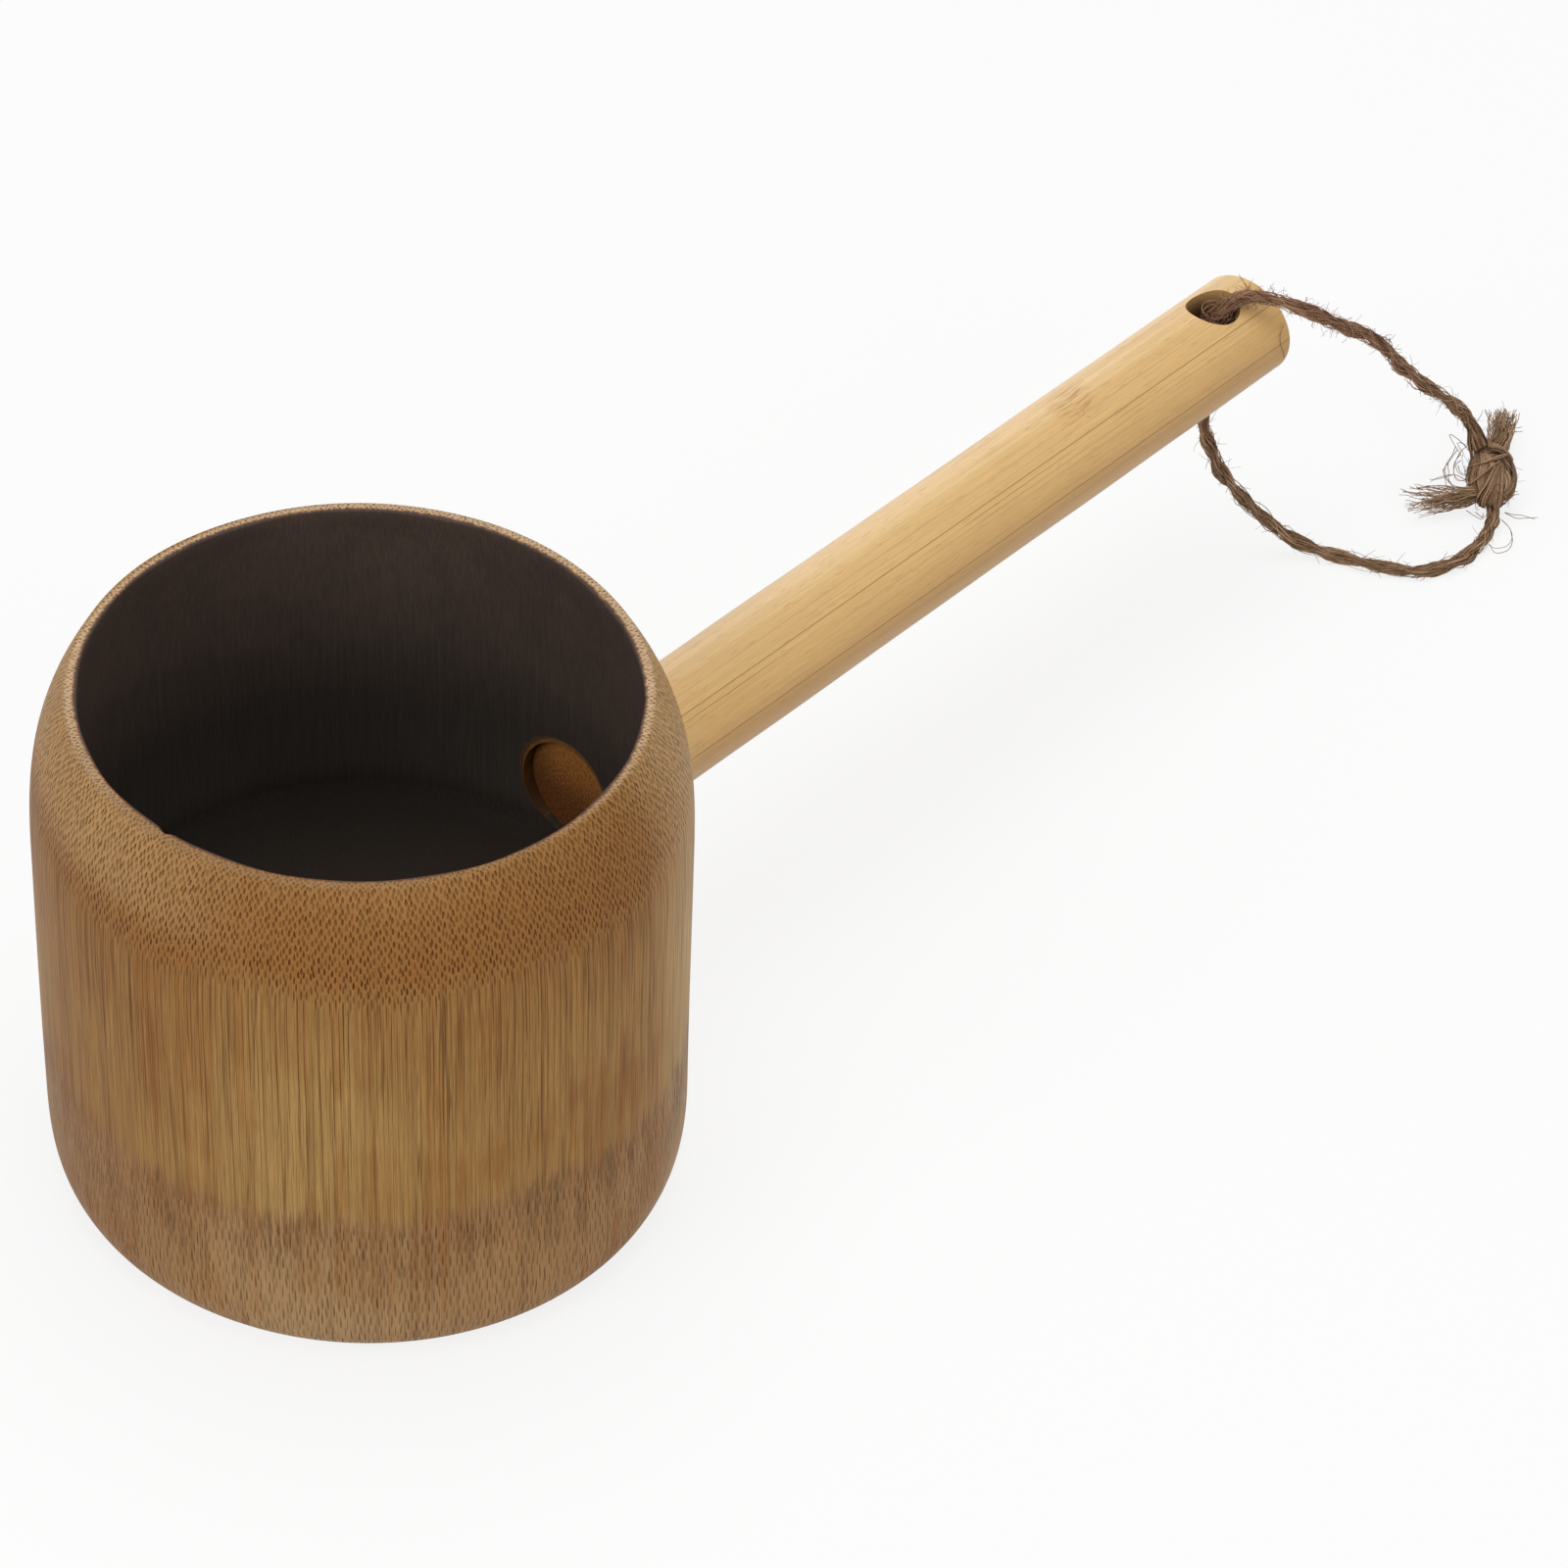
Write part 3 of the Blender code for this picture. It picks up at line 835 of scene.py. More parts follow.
class StripSurface(Surface):
    """The handle's material while it is built; stack runs across the strips and side along them."""

    def __init__(self, finish: StripFinish, cup: Cup, handle: Handle, effects: SharedEffects) -> None:
        """Measure the surface and lay out its patterns.

        Args:
            finish: the colours and marks.
            cup: sizes of the cup.
            handle: sizes of the handle.
            effects: the shared groups.
        """
        super().__init__("pale_laminated_bamboo")
        self.finish, self.cup, self.handle, self.effects = finish, cup, handle, effects
        graph = self.graph
        self.x, self.y, self.level = graph.separate(self.place_mm((0.0, handle.y, handle.z)))
        self.z = self.level - (self.x * handle.slope - handle.slope * handle.middle)
        sine, cosine = math.sin(handle.lean), math.cos(handle.lean)
        self.stack = self.y * sine + self.z * cosine
        self.side = self.y * cosine - self.z * sine
        self.strip = graph.math('ROUND', self.stack / handle.core_thickness)
        self.own_side = self.side + self.strip * 37.0
        own = graph.combine(self.own_side, self.stack, self.x)
        self.fine = effects.streaks(graph, own, 2.4, 60.0)
        self.hair = effects.streaks(graph, own, 7.0, 30.0)
        self.broad = effects.streaks(graph, own, 0.40, 80.0)
        self.blotch = effects.cloud(graph, own, 0.04)
        self.bend = self.noise(0.10, 0.010) * 2.0 - 1.0
        self.torn = graph.noise(graph.combine(self.side * 2.6, self.stack * 2.6, 0.0), 1.0, 3.0)

    def noise(self, across: float, along: float, detail: float = 2.0) -> Value:
        """Look up noise of a strip's own, by how fast it changes across and along the handle."""
        spot = self.graph.combine(self.own_side * across, self.stack * across, self.x * along)
        return self.graph.noise(spot, 1.0, detail)

    def bundles(self, plane: Socket, cell: float, width: float, height: float) -> dict[str, Value]:
        """Lay fibre bundles on a plane across the strips."""
        return self.graph.group(self.effects.bundles, Plane=plane, Outward=(0.0, 1.0, 0.0), Cell=cell,
                                Width=width, Height=height)

    def ground(self) -> Socket:
        """Colour the bar, painted lighter towards its upper edge and darker towards its lower edge as light
        falls on it.

        Returns:
            The colour.
        """
        graph, finish, wall = self.graph, self.finish, self.cup.x + self.cup.radius
        # Painted light and shade: the colour runs from dark at the bar's lower edge to pale at its upper
        # edge.
        across = self.y * SEEN_ACROSS[0] + self.z * SEEN_ACROSS[1]
        colour = graph.stops(across * (0.5 / self.handle.radius) + 0.5, finish.shaded_tones)
        warm = graph.ramp(self.broad + self.blotch * 0.6, -0.7, 1.4, 0.0, 0.34)
        colour = graph.mix(warm, colour, finish.honey)
        colour = graph.mix(graph.ramp(self.x, wall + 17.0, wall + 2.0, 0.0, 0.5), colour, finish.green)
        low, core, high = finish.strip_tints
        tint = graph.ramp(self.strip, 0.1, 0.9, graph.ramp(self.strip, -0.9, -0.1, low, core), high)
        return graph.shade(colour, tint + (self.fine * 0.040 + self.hair * 0.055))

    def lines(self, bundles: dict[str, Value]) -> Value:
        """Lay bundles, pores, glue lines and growth lines.

        Args:
            bundles: the fibre bundles.

        Returns:
            The dark lines.
        """
        graph = self.graph
        pores = graph.ramp(self.noise(3.1, 0.32, 1.0), 0.62, 0.72, 0.0, 0.26)
        lines = graph.larger(bundles["Dark"] * 0.20, pores)
        from_joint = abs(abs(self.stack) - self.handle.core_thickness / 2.0)
        lines = graph.larger(lines, graph.ramp(from_joint, 0.16, 0.05, 0.0, 0.42))
        swing = self.bend * 0.35
        for height, strength in self.finish.growth_lines:
            off = abs(self.stack - height + swing)
            broken = graph.noise(graph.combine(height * 3.0, 0.0, self.x * 0.035))
            broken = graph.ramp(broken, 0.40, 0.58, 0.15, strength)
            lines = graph.larger(lines, graph.ramp(off, 0.11, 0.02) * broken)
        return lines

    def marks(self) -> Value:
        """Draw the trace of the culm's node, with two curls and a speck.

        Returns:
            The marks.
        """
        graph, finish = self.graph, self.finish
        arc = graph.math('ARCTAN2', self.stack, self.side) * self.handle.radius
        reach = abs(self.x - (arc * -0.28 + (finish.node_x + 5.4)))
        first, last = finish.node_arc
        on_node = graph.ramp(arc, first, first + 3.0) * graph.ramp(arc, last, last - 2.0)
        arch = reach * reach * 0.025 + arc
        dashes = graph.noise(graph.combine(self.x * 0.17, arch * 2.5, 3.0))
        marks = graph.ramp(reach, 6.0, 2.0) * on_node * graph.ramp(dashes, 0.48, 0.64, 0.10, 0.62)
        for curl_x, curl_arc, size in finish.curls:
            gone = graph.length(graph.combine(self.x - curl_x, arc - curl_arc, 0.0))
            marks = graph.larger(marks, graph.ramp(abs(gone - size), 0.22, 0.02, 0.0, 0.38))
        spot = graph.combine(self.side, self.stack, self.x)
        dot = graph.length(graph.vector('SUBTRACT', spot, finish.speck))
        return graph.larger(marks, graph.ramp(dot, 0.42, 0.15, 0.0, 0.7))

    def sawn_end(self, colour: Socket) -> Socket:
        """Show end grain on the end inside the cup.

        Args:
            colour: the bar's colour.

        Returns:
            The colour.
        """
        graph, finish, start = self.graph, self.finish, self.handle.start
        spots = self.bundles(graph.combine(self.side, self.stack, 0.0), 0.85, 0.26, 0.30)
        # Torn fibres darken the end grain at random; the face is also painted darker towards its bottom, as
        # painted shade.
        rough = graph.math('ADD', graph.ramp(self.torn, 0.35, 0.65, 0.0, 0.45),
                           graph.ramp(self.level, 6.0, -5.0, 0.0, 0.62), clamp=True)
        face = graph.mix(spots["Dark"] * 0.7 + rough, finish.end_grain, finish.end_dots)
        # Painted shade towards the face's far (+y) side, beside the bore's wall.
        face = graph.mix(graph.ramp(self.y, 3.0, 8.5, 0.0, 0.5), face, finish.end_dots)
        return graph.mix(graph.ramp(self.x, start + 0.35, start + 0.15), colour, face)

    def build(self) -> bpy.types.Material:
        """Put the steps together.

        Returns:
            The handle's material.
        """
        graph, finish, handle = self.graph, self.finish, self.handle
        plane = graph.combine(self.own_side + self.x * 0.004, self.stack + self.bend, 0.0)
        bundles = self.bundles(plane, 0.95, 0.12, 0.20)
        lines = self.lines(bundles)
        colour = graph.mix(bundles["Pale"] * 0.08, self.ground(), finish.pale)
        colour = graph.mix(lines, colour, finish.line)
        colour = graph.mix(self.marks(), colour, finish.mark)
        colour = self.sawn_end(colour)
        hole = graph.length(graph.combine(self.x - handle.hole_x, self.y, 0.0))
        drilled = graph.ramp(hole, handle.hole_radius + 0.10, handle.hole_radius + 0.02, 0.0, 0.9)
        # Painted light and shade in the hanging hole: its wall is lighter near the top and darker further
        # down.
        deep = graph.ramp(self.z + (self.torn - 0.5) * 4.0, 9.6, 3.5)
        colour = graph.mix(drilled, colour, graph.mix(deep, finish.bore_lit_top, finish.bore_shade))
        roughness = self.hair * 0.05 + finish.roughness + drilled * 0.3
        self.dress(colour, roughness, lines * -0.03 + self.fine * 0.005, finish)
        return self.material


@dataclass(frozen=True)
class CoirFinish(Finish):
    """Matt reddish-brown coconut fibre."""

    dark: Colour = from_srgb(94, 67, 51)
    middle: Colour = from_srgb(159, 125, 98)
    light: Colour = from_srgb(203, 172, 134)
    olive: Colour = from_srgb(128, 106, 72)
    russet: Colour = from_srgb(136, 88, 68)
    roughness: float = 0.74
    specular: float = 0.20
    relief: float = 0.6

    def make(self, effects: SharedEffects) -> bpy.types.Material:
        """Build the material; each fibre's own tint comes with its mesh.

        Args:
            effects: the shared groups.

        Returns:
            The cord's material.
        """
        surface = Surface("coir")
        graph, place = surface.graph, surface.place_mm()
        tint = graph.node("ShaderNodeAttribute", attribute_name="tint").outputs["Fac"]
        cloud = effects.cloud(graph, place, 0.35)
        speck = effects.cloud(graph, place, 3.0)
        share = graph.math('ADD', tint, cloud * 0.10 + speck * 0.08, clamp=True)
        colour = graph.stops(share, ((0.0, self.dark), (0.55, self.middle), (1.0, self.light)))
        _, _, z = graph.separate(place)
        high = graph.ramp(z, 18.0, 44.0) + cloud * 0.35
        colour = graph.mix(graph.ramp(high, 0.2, 0.9, 0.0, 0.34), colour, self.russet)
        colour = graph.mix(graph.ramp(high, 0.1, -0.3, 0.0, 0.38), colour, self.olive)
        surface.dress(colour, speck * 0.08 + self.roughness, speck * 0.02, self)
        return surface.material


def circle(count: int) -> np.ndarray:
    """Give angles evenly spaced round a full turn."""
    return np.linspace(0.0, FULL_TURN, count, endpoint=False)


def unit(vector: np.ndarray) -> np.ndarray:
    """Bring a vector to length one."""
    return vector / max(np.linalg.norm(vector), TINY)


def above(track: np.ndarray, height: float) -> np.ndarray:
    """Lift the points of a fibre that lie below a height."""
    return np.column_stack([track[:, :2], np.maximum(track[:, 2], height)])


def around(line: np.ndarray, frames: tuple[np.ndarray, np.ndarray], away: np.ndarray, turn: np.ndarray
           ) -> np.ndarray:
    """Give the points beside a line.

    Args:
        line: the line, (n, 3).
        frames: two directions across it at each point.
        away: how far off each point lies.
        turn: the angle about the line at which it lies.

    Returns:
        The points, (n, 3).
    """
    first, second = frames
    return line + first * (away * np.cos(turn))[:, None] + second * (away * np.sin(turn))[:, None]


def frames_along(line: np.ndarray) -> tuple[np.ndarray, np.ndarray]:
    """Give two directions across a line that turn as little as they can.

    Args:
        line: points, (n, 3).

    Returns:
        The two unit directions at each point.
    """
    tangent = np.gradient(line, axis=0)
    tangent /= np.maximum(np.linalg.norm(tangent, axis=1, keepdims=True), TINY)
    held = np.array([0.0, 0.0, 1.0]) if abs(tangent[0][2]) < 0.8 else np.array([1.0, 0.0, 0.0])
    first = np.empty_like(line)
    for i, direction in enumerate(tangent):
        held = unit(held - direction * held.dot(direction))
        first[i] = held
    return first, np.cross(tangent, first)


def smooth_line(route: np.ndarray, spacing: float) -> np.ndarray:
    """Points at an even spacing along a smooth curve through a route's own points.

    Args:
        route: the route's points, (n, 3).
        spacing: the distance between the points that come back.

    Returns:
        The points, (m, 3).
    """
    padded = np.concatenate([[2.0 * route[0] - route[1]], route, [2.0 * route[-1] - route[-2]]])
    fine = []
    for p0, p1, p2, p3 in zip(padded, padded[1:], padded[2:], padded[3:]):
        t1 = math.sqrt(np.linalg.norm(p1 - p0))
        t2 = t1 + math.sqrt(np.linalg.norm(p2 - p1))
        t3 = t2 + math.sqrt(np.linalg.norm(p3 - p2))
        for t in t1 + (t2 - t1) * np.arange(CURVE_STEPS) / CURVE_STEPS:
            a1 = p0 + (p1 - p0) * t / t1
            a2 = p1 + (p2 - p1) * (t - t1) / (t2 - t1)
            a3 = p2 + (p3 - p2) * (t - t2) / (t3 - t2)
            b1 = a1 + (a2 - a1) * t / t2
            b2 = a2 + (a3 - a2) * (t - t1) / (t3 - t1)
            fine.append(b1 + (b2 - b1) * (t - t1) / (t2 - t1))
    fine.append(route[-1])
    line = np.array(fine)
    travelled = np.concatenate([[0.0], np.cumsum(np.linalg.norm(np.diff(line, axis=0), axis=1))])
    count = max(2, round(travelled[-1] / spacing))
    even = np.linspace(0.0, travelled[-1], count + 1)
    return np.stack([np.interp(even, travelled, line[:, i]) for i in range(3)], axis=1)


def turned(profile: list[tuple[float, float]], segments: int) -> np.ndarray:
    """Turn a profile of (radius, height) about +Z.

    Args:
        profile: the points, from one end of the solid to the other.
        segments: how many points each ring has.

    Returns:
        The rings, as (rings, segments, 3).
    """
    angle = circle(segments)
    line = np.array(profile)
    rings = np.empty((len(line), segments, 3))
    rings[:, :, 0] = line[:, :1] * np.cos(angle)
    rings[:, :, 1] = line[:, :1] * np.sin(angle)
    rings[:, :, 2] = line[:, 1:]
    return rings


def rounded(across: float, along: float, size: float, degrees: np.ndarray | tuple[float, ...]
            ) -> list[tuple[float, float]]:
    """Give the points of a rounded corner.

    Args:
        across: the first measure of the arc's centre.
        along: its second measure.
        size: the arc's radius.
        degrees: the angle of each point.

    Returns:
        The points.
    """
    return [(across + size * math.cos(turn), along + size * math.sin(turn)) for turn in np.radians(degrees)]


class Skin:
    """Points and faces of one piece while it is being made, in millimetres."""

    def __init__(self) -> None:
        """Start empty."""
        self.points: list[np.ndarray] = []
        self.faces: list[tuple[int, ...]] = []
        self.tints: list[np.ndarray] = []
        self.count = 0

    def loft(self, rings: np.ndarray, tint: float = 0.5) -> None:
        """Add a closed solid through rings of equal length, both ends capped.

        Args:
            rings: points of every ring, as (rings, points, 3).
            tint: the solid's own tint.
        """
        number, size = rings.shape[:2]
        index = self.count + np.arange(number * size).reshape(number, size)
        self.points.append(rings.reshape(-1, 3))
        self.tints.append(np.full(number * size, tint))
        self.count += number * size
        after = np.roll(index, -1, axis=1)
        quads = np.stack([index[:-1], after[:-1], after[1:], index[1:]], axis=-1).reshape(-1, 4)
        self.faces.extend(map(tuple, quads.tolist()))
        self.faces.append(tuple(index[0][::-1].tolist()))
        self.faces.append(tuple(index[-1].tolist()))

    def fibre(self, line: np.ndarray, radius: np.ndarray | float, sides: int, tint: float) -> None:
        """Add a round fibre along a line.

        Args:
            line: its centreline, (n, 3).
            radius: its radius, the same all along or one for each point.
            sides: how many points each ring has.
            tint: its own tint.
        """
        first, second = frames_along(line)
        angle = circle(sides)
        cosine, sine = np.cos(angle)[None, :, None], np.sin(angle)[None, :, None]
        rim = first[:, None, :] * cosine + second[:, None, :] * sine
        self.loft(line[:, None, :] + rim * np.broadcast_to(radius, len(line))[:, None, None], tint)

    def mesh(self, name: str) -> bpy.types.Mesh:
        """Make the mesh, in metres.

        Args:
            name: the mesh's name.

        Returns:
            The new mesh.
        """
        made = bpy.data.meshes.new(name)
        points = np.concatenate(self.points) * MM
        made.from_pydata(points.tolist(), [], self.faces)
        attribute = made.attributes.new("tint", 'FLOAT', 'POINT')
        attribute.data.foreach_set("value", np.concatenate(self.tints).astype(np.float32))
        shape = bmesh.new()
        shape.from_mesh(made)
        bmesh.ops.recalc_face_normals(shape, faces=shape.faces)
        shape.to_mesh(made)
        shape.free()
        made.shade_smooth()
        return made


def add_object(name: str, data: bpy.types.ID) -> bpy.types.Object:
    """Put an object in the scene.

    Args:
        name: the object's name.
        data: its mesh, lamp or camera.

    Returns:
        The new object.
    """
    made = bpy.data.objects.new(name, data)
    bpy.context.collection.objects.link(made)
    return made


def add_piece(name: str, mesh: bpy.types.Mesh, material: bpy.types.Material, body: str) -> bpy.types.Object:
    """Put a finished mesh in the scene on a body.

    Args:
        name: the piece's name.
        mesh: its mesh.
        material: its finish.
        body: the body that carries it.

    Returns:
        The new object.
    """
    piece = add_object(name, mesh)
    mesh.materials.append(material)
    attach(piece, body)
    return piece


def cut(piece: bpy.types.Object, rings: np.ndarray) -> None:
    """Take a solid out of a piece and keep the sharp edges of what is left sharp.

    Args:
        piece: the piece to cut.
        rings: rings of the solid, in millimetres.
    """
    skin = Skin()
    skin.loft(rings)
    tool = add_object("cutter", skin.mesh("cutter"))
    modifier = piece.modifiers.new("cut", 'BOOLEAN')
    modifier.operation = 'DIFFERENCE'
    modifier.solver = 'EXACT'
    modifier.object = tool
    graph = bpy.context.evaluated_depsgraph_get()
    result = bpy.data.meshes.new_from_object(piece.evaluated_get(graph))
    result.name = piece.data.name + "_cut"
    piece.modifiers.clear()
    material = piece.data.materials[0]
    piece.data = result
    result.materials.clear()
    result.materials.append(material)
    result.set_sharp_from_angle(angle=SHARP_ANGLE)
    bpy.data.objects.remove(tool, do_unlink=True)


@dataclass
class Cup:
    """Cup turned from one bamboo culm, its natural node left in as the floor."""

    x: float = -81.9
    height: float = 92.0
    radius: float = 50.0
    oval: float = 0.5
    wall: float = 5.6
    rim_radius: float = 43.9
    rim_width: float = 2.0
    rim_edge: float = 0.4
    shoulder_drop: float = 30.0
    foot_radius: float = 42.0
    foot_width: float = 3.0
    foot_rise: float = 15.5
    foot_power: float = 3.2
    floor: float = 32.0
    floor_thickness: float = 5.0
    fillet: float = 3.0
    bore_clearance: float = 0.05
    bore_reach: tuple[float, float] = (-12.0, 22.0)
    segments: int = 360
    chips: tuple[tuple[float, float, float], ...] = ((-177.3, 0.9, 0.45), (-15.0, 1.1, 0.5), (-5.5, 0.8, 0.3))

    @property
    def belly_radius(self) -> float:
        """Inner radius of the straight wall."""
        return self.radius - self.wall

    @property
    def mouth_radius(self) -> float:
        """Inner radius of the rim."""
        return self.rim_radius - self.rim_width

    @property
    def shoulder_height(self) -> float:
        """Height at which the outside starts to draw in."""
        return self.height - self.shoulder_drop

    def inner_profile(self) -> list[tuple[float, float]]:
        """Give the bowl's outline.

        Returns:
            Points (radius, height) from the middle of the floor up to the rim.
        """
        floor_edge, drawn_in = self.belly_radius - self.fillet, self.belly_radius - self.mouth_radius
        points = [(radius, self.floor) for radius in np.linspace(0.5, floor_edge, 14)]
        points += rounded(floor_edge, self.floor + self.fillet, self.fillet, np.linspace(-80.0, 0.0, 7))
        points += [(self.belly_radius, height) for height in np.linspace(40.0, self.shoulder_height, 6)]
        for share in np.linspace(0.08, 1.0, 13):
            points.append((self.belly_radius - drawn_in * share ** 2,
                           self.shoulder_height + (self.shoulder_drop - self.rim_edge) * share))
        edge = self.height - self.rim_edge
        points += rounded(self.mouth_radius + self.rim_edge, edge, self.rim_edge, (150.0, 120.0, 90.0))
        return points + rounded(self.rim_radius - self.rim_edge, edge, self.rim_edge, (90.0, 60.0, 30.0))

    def outer_profile(self) -> list[tuple[float, float]]:
        """Give the outline of the shoulder, the wall, the foot and the recess.

        Returns:
            Points (radius, height) from the rim down to the middle under the floor.
        """
        points = []
        for share in np.sin(np.radians(np.linspace(90.0, 2.0, 26))):
            points.append((self.radius - (self.radius - self.rim_radius) * share ** 3,
                           self.shoulder_height + (self.shoulder_drop - self.rim_edge) * share))
        points += [(self.radius, height) for height in np.linspace(self.shoulder_height, self.foot_rise, 12)]
        for share in 1.0 - np.cos(np.radians(np.linspace(86.0, 0.0, 24))):
            swell = (1.0 - (1.0 - share) ** self.foot_power) ** (1.0 / self.foot_power)
            reach = self.foot_radius + (self.radius - self.foot_radius) * swell
            points.append((reach, self.foot_rise * share))
        inner, under = self.foot_radius - self.foot_width, self.floor - self.floor_thickness
        points += [(inner + 0.4, 0.0), (inner, 0.4)]
        points += [(inner, height) for height in np.linspace(6.0, under - self.fillet, 4)]
        points += rounded(inner - self.fillet, under - self.fillet, self.fillet, np.linspace(10.0, 90.0, 6))
        return points + [(radius, under) for radius in np.linspace(inner - self.fillet - 2.0, 0.5, 10)]

    def rings(self) -> np.ndarray:
        """Turn the outline, with the culm's slight oval, hand-turned waviness and the rim's chips.

        Returns:
            The rings, from the bowl's floor over the rim to the recess.
        """
        rings = turned(self.inner_profile() + self.outer_profile(), self.segments)
        angle = circle(self.segments)[None, :]
        radius = np.hypot(rings[:, :, 0], rings[:, :, 1])
        height = rings[:, :, 2]
        share = np.clip(radius / self.foot_radius, 0.0, 1.0)
        change = -self.oval * np.cos(2.0 * angle) * share
        wave = 0.05 * np.sin(5.0 * angle + 0.4 + height / 17.0)
        wave = wave + 0.04 * np.sin(9.0 * angle + 2.0 - height / 11.0)
        change += wave * np.clip((height - 4.0) / 10.0, 0.0, 1.0) * share
        top = np.clip((height - 84.0) / 8.0, 0.0, 1.0)
        inward = np.clip((self.rim_radius - 0.9 - radius) / 0.8, 0.0, 1.0)
        change += top * inward * (0.10 * np.sin(7.0 * angle + 1.0) + 0.07 * np.sin(17.0 * angle + 3.0))
        sink = np.zeros_like(height)
        at_rim = np.clip((height - 90.0) / 2.0, 0.0, 1.0)
        for place, width, depth in self.chips:
            off = (angle - math.radians(place) + math.pi) % FULL_TURN - math.pi
            near = np.exp(-((off * self.mouth_radius / width) ** 2)) * at_rim
            change += near * inward * depth
            sink += near * inward * depth * 0.8
        rings[:, :, 0] = self.x + (radius + change) * np.cos(angle)
        rings[:, :, 1] = (radius + change) * np.sin(angle)
        rings[:, :, 2] = height - sink
        return rings

    def build(self, material: bpy.types.Material, handle: Handle) -> bpy.types.Object:
        """Make the cup and bore it for the handle.

        Args:
            material: the culm's finish.
            handle: the handle that the bore takes.

        Returns:
            The cup.
        """
        skin = Skin()
        skin.loft(self.rings())
        piece = add_piece("turned_cup", skin.mesh("turned_cup"), material, "ladle")
        bore = [(handle.radius + self.bore_clearance, handle.start + reach) for reach in self.bore_reach]
        cut(piece, handle.along(turned(bore, BORE_SIDES)))
        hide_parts("cup")
        return piece


class StripPlace(Enum):
    """The three strips of the handle, each with the CAD node that it stands for."""

    UPPER = "handle_upper_strip"
    CORE = "handle_core_strip"
    LOWER = "handle_lower_strip"


@dataclass
class Handle:
    """Round bar glued up from three bamboo strips and drilled for the cord."""

    start: float = -36.9
    length: float = 168.8
    slope: float = 0.0070
    diameter: float = 18.8
    y: float = -1.5
    z: float = 44.4
    core_thickness: float = 7.0
    glue: float = 0.04
    lean: float = math.radians(31.0)
    end_round: float = 1.2
    end_slant: tuple[float, float] = (-0.35, -0.075)
    inner_edge: float = 0.3
    wavy_from: float = -20.0
    hole_radius: float = 4.65
    hole_from_end: float = 11.1
    hole_reach: float = 20.0
    stations: int = 44

    @property
    def radius(self) -> float:
        """Radius of the bar."""
        return self.diameter / 2.0

    @property
    def end(self) -> float:
        """X of the bar's far end."""
        return self.start + self.length

    @property
    def hole_x(self) -> float:
        """X of the hanging hole's axis."""
        return self.end - self.hole_from_end

    @property
    def middle(self) -> float:
        """X halfway along the bar, where its axis is at height z."""
        return self.start + self.length / 2.0

    def along(self, rings: np.ndarray) -> np.ndarray:
        """Lay rings turned about +Z along the handle's axis instead.

        Args:
            rings: the rings.

        Returns:
            The rings about the handle's axis.
        """
        laid = np.empty_like(rings)
        laid[:, :, 0] = rings[:, :, 2]
        laid[:, :, 1] = self.y + rings[:, :, 1]
        laid[:, :, 2] = self.z - rings[:, :, 0] + self.slope * (rings[:, :, 2] - self.middle)
        return laid

    def section(self, place: StripPlace, radius: float) -> np.ndarray:
        """Outline of one strip across a bar of some radius.

        Args:
            place: which strip.
            radius: the bar's radius there.

        Returns:
            Points (side, stack), counter-clockwise.
        """
        core = place is StripPlace.CORE
        level = (self.core_thickness + (-self.glue if core else self.glue)) / 2.0
        edge = math.asin(level / radius)
        reach = math.sqrt(radius * radius - level * level)
        turn = np.linspace(-edge, edge, 22) if core else np.linspace(edge, math.pi - edge, 56)
        chord = np.linspace(-reach, reach, 30)[1:-1]
        if core:
            chord = chord[::-1]
        outline = np.concatenate([np.stack([radius * np.cos(turn), radius * np.sin(turn)], axis=1),
                                  np.stack([chord, np.full_like(chord, level)], axis=1)])
        if core:
            return np.concatenate([outline, -outline])
        return outline if place is StripPlace.UPPER else -outline

    def rings(self, place: StripPlace) -> np.ndarray:
        """Lay one strip's outlines from the cup's end to the hanging end.

        Args:
            place: which strip.

        Returns:
            Its rings.
        """
        stations = [(self.start, self.radius - self.inner_edge), (self.start + self.inner_edge, self.radius)]
        for x in np.linspace(self.start + 2.0, self.end - self.end_round, self.stations):
            wave = 0.03 * math.sin(x / 13.0 + 1.0) + 0.02 * math.sin(x / 5.7)
            stations.append((x, self.radius + (wave if x >= self.wavy_from else 0.0)))
        stations += rounded(self.end - self.end_round, self.radius - self.end_round, self.end_round,
                            np.linspace(78.0, 0.0, 7))
        sine, cosine = math.sin(self.lean), math.cos(self.lean)
        rings = []
        for x, radius in stations:
            side, stack = self.section(place, radius).T
            level = self.z + self.slope * (x - self.middle)
            right, up = side * cosine + stack * sine, stack * cosine - side * sine
            slant = self.end_slant[0] + self.end_slant[1] * (SEEN_ACROSS[0] * right + SEEN_ACROSS[1] * up)
            slant = slant * max(0.0, x - self.hole_x - 6.0) / (self.end - self.hole_x - 6.0)
            rings.append(np.stack([x + slant, self.y + right, level + up], axis=1))
        return np.array(rings)

    def hole(self) -> np.ndarray:
        """Shape the hanging hole's cutter.

        Returns:
            Its rings.
        """
        outline = [(self.hole_radius, self.z - self.hole_reach), (self.hole_radius, self.z + self.hole_reach)]
        rings = turned(outline, BORE_SIDES)
        rings[:, :, 0] += self.hole_x
        rings[:, :, 1] += self.y
        return rings

    def build(self, material: bpy.types.Material) -> list[bpy.types.Object]:
        """Make the three strips.

        Args:
            material: the strips' finish.

        Returns:
            The strips.
        """
        pieces = []
        for place in StripPlace:
            skin = Skin()
            skin.loft(self.rings(place))
            name = place.value.replace("handle_", "bamboo_")
            piece = add_piece(name, skin.mesh(name), material, "ladle")
            cut(piece, self.hole())
            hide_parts(place.value)
            pieces.append(piece)
        return pieces


class RunPlace(Enum):
    """The cord's two runs, each with the CAD node that it stands for."""

    UPPER = "cord_upper_run"
    LOWER = "cord_lower_run"


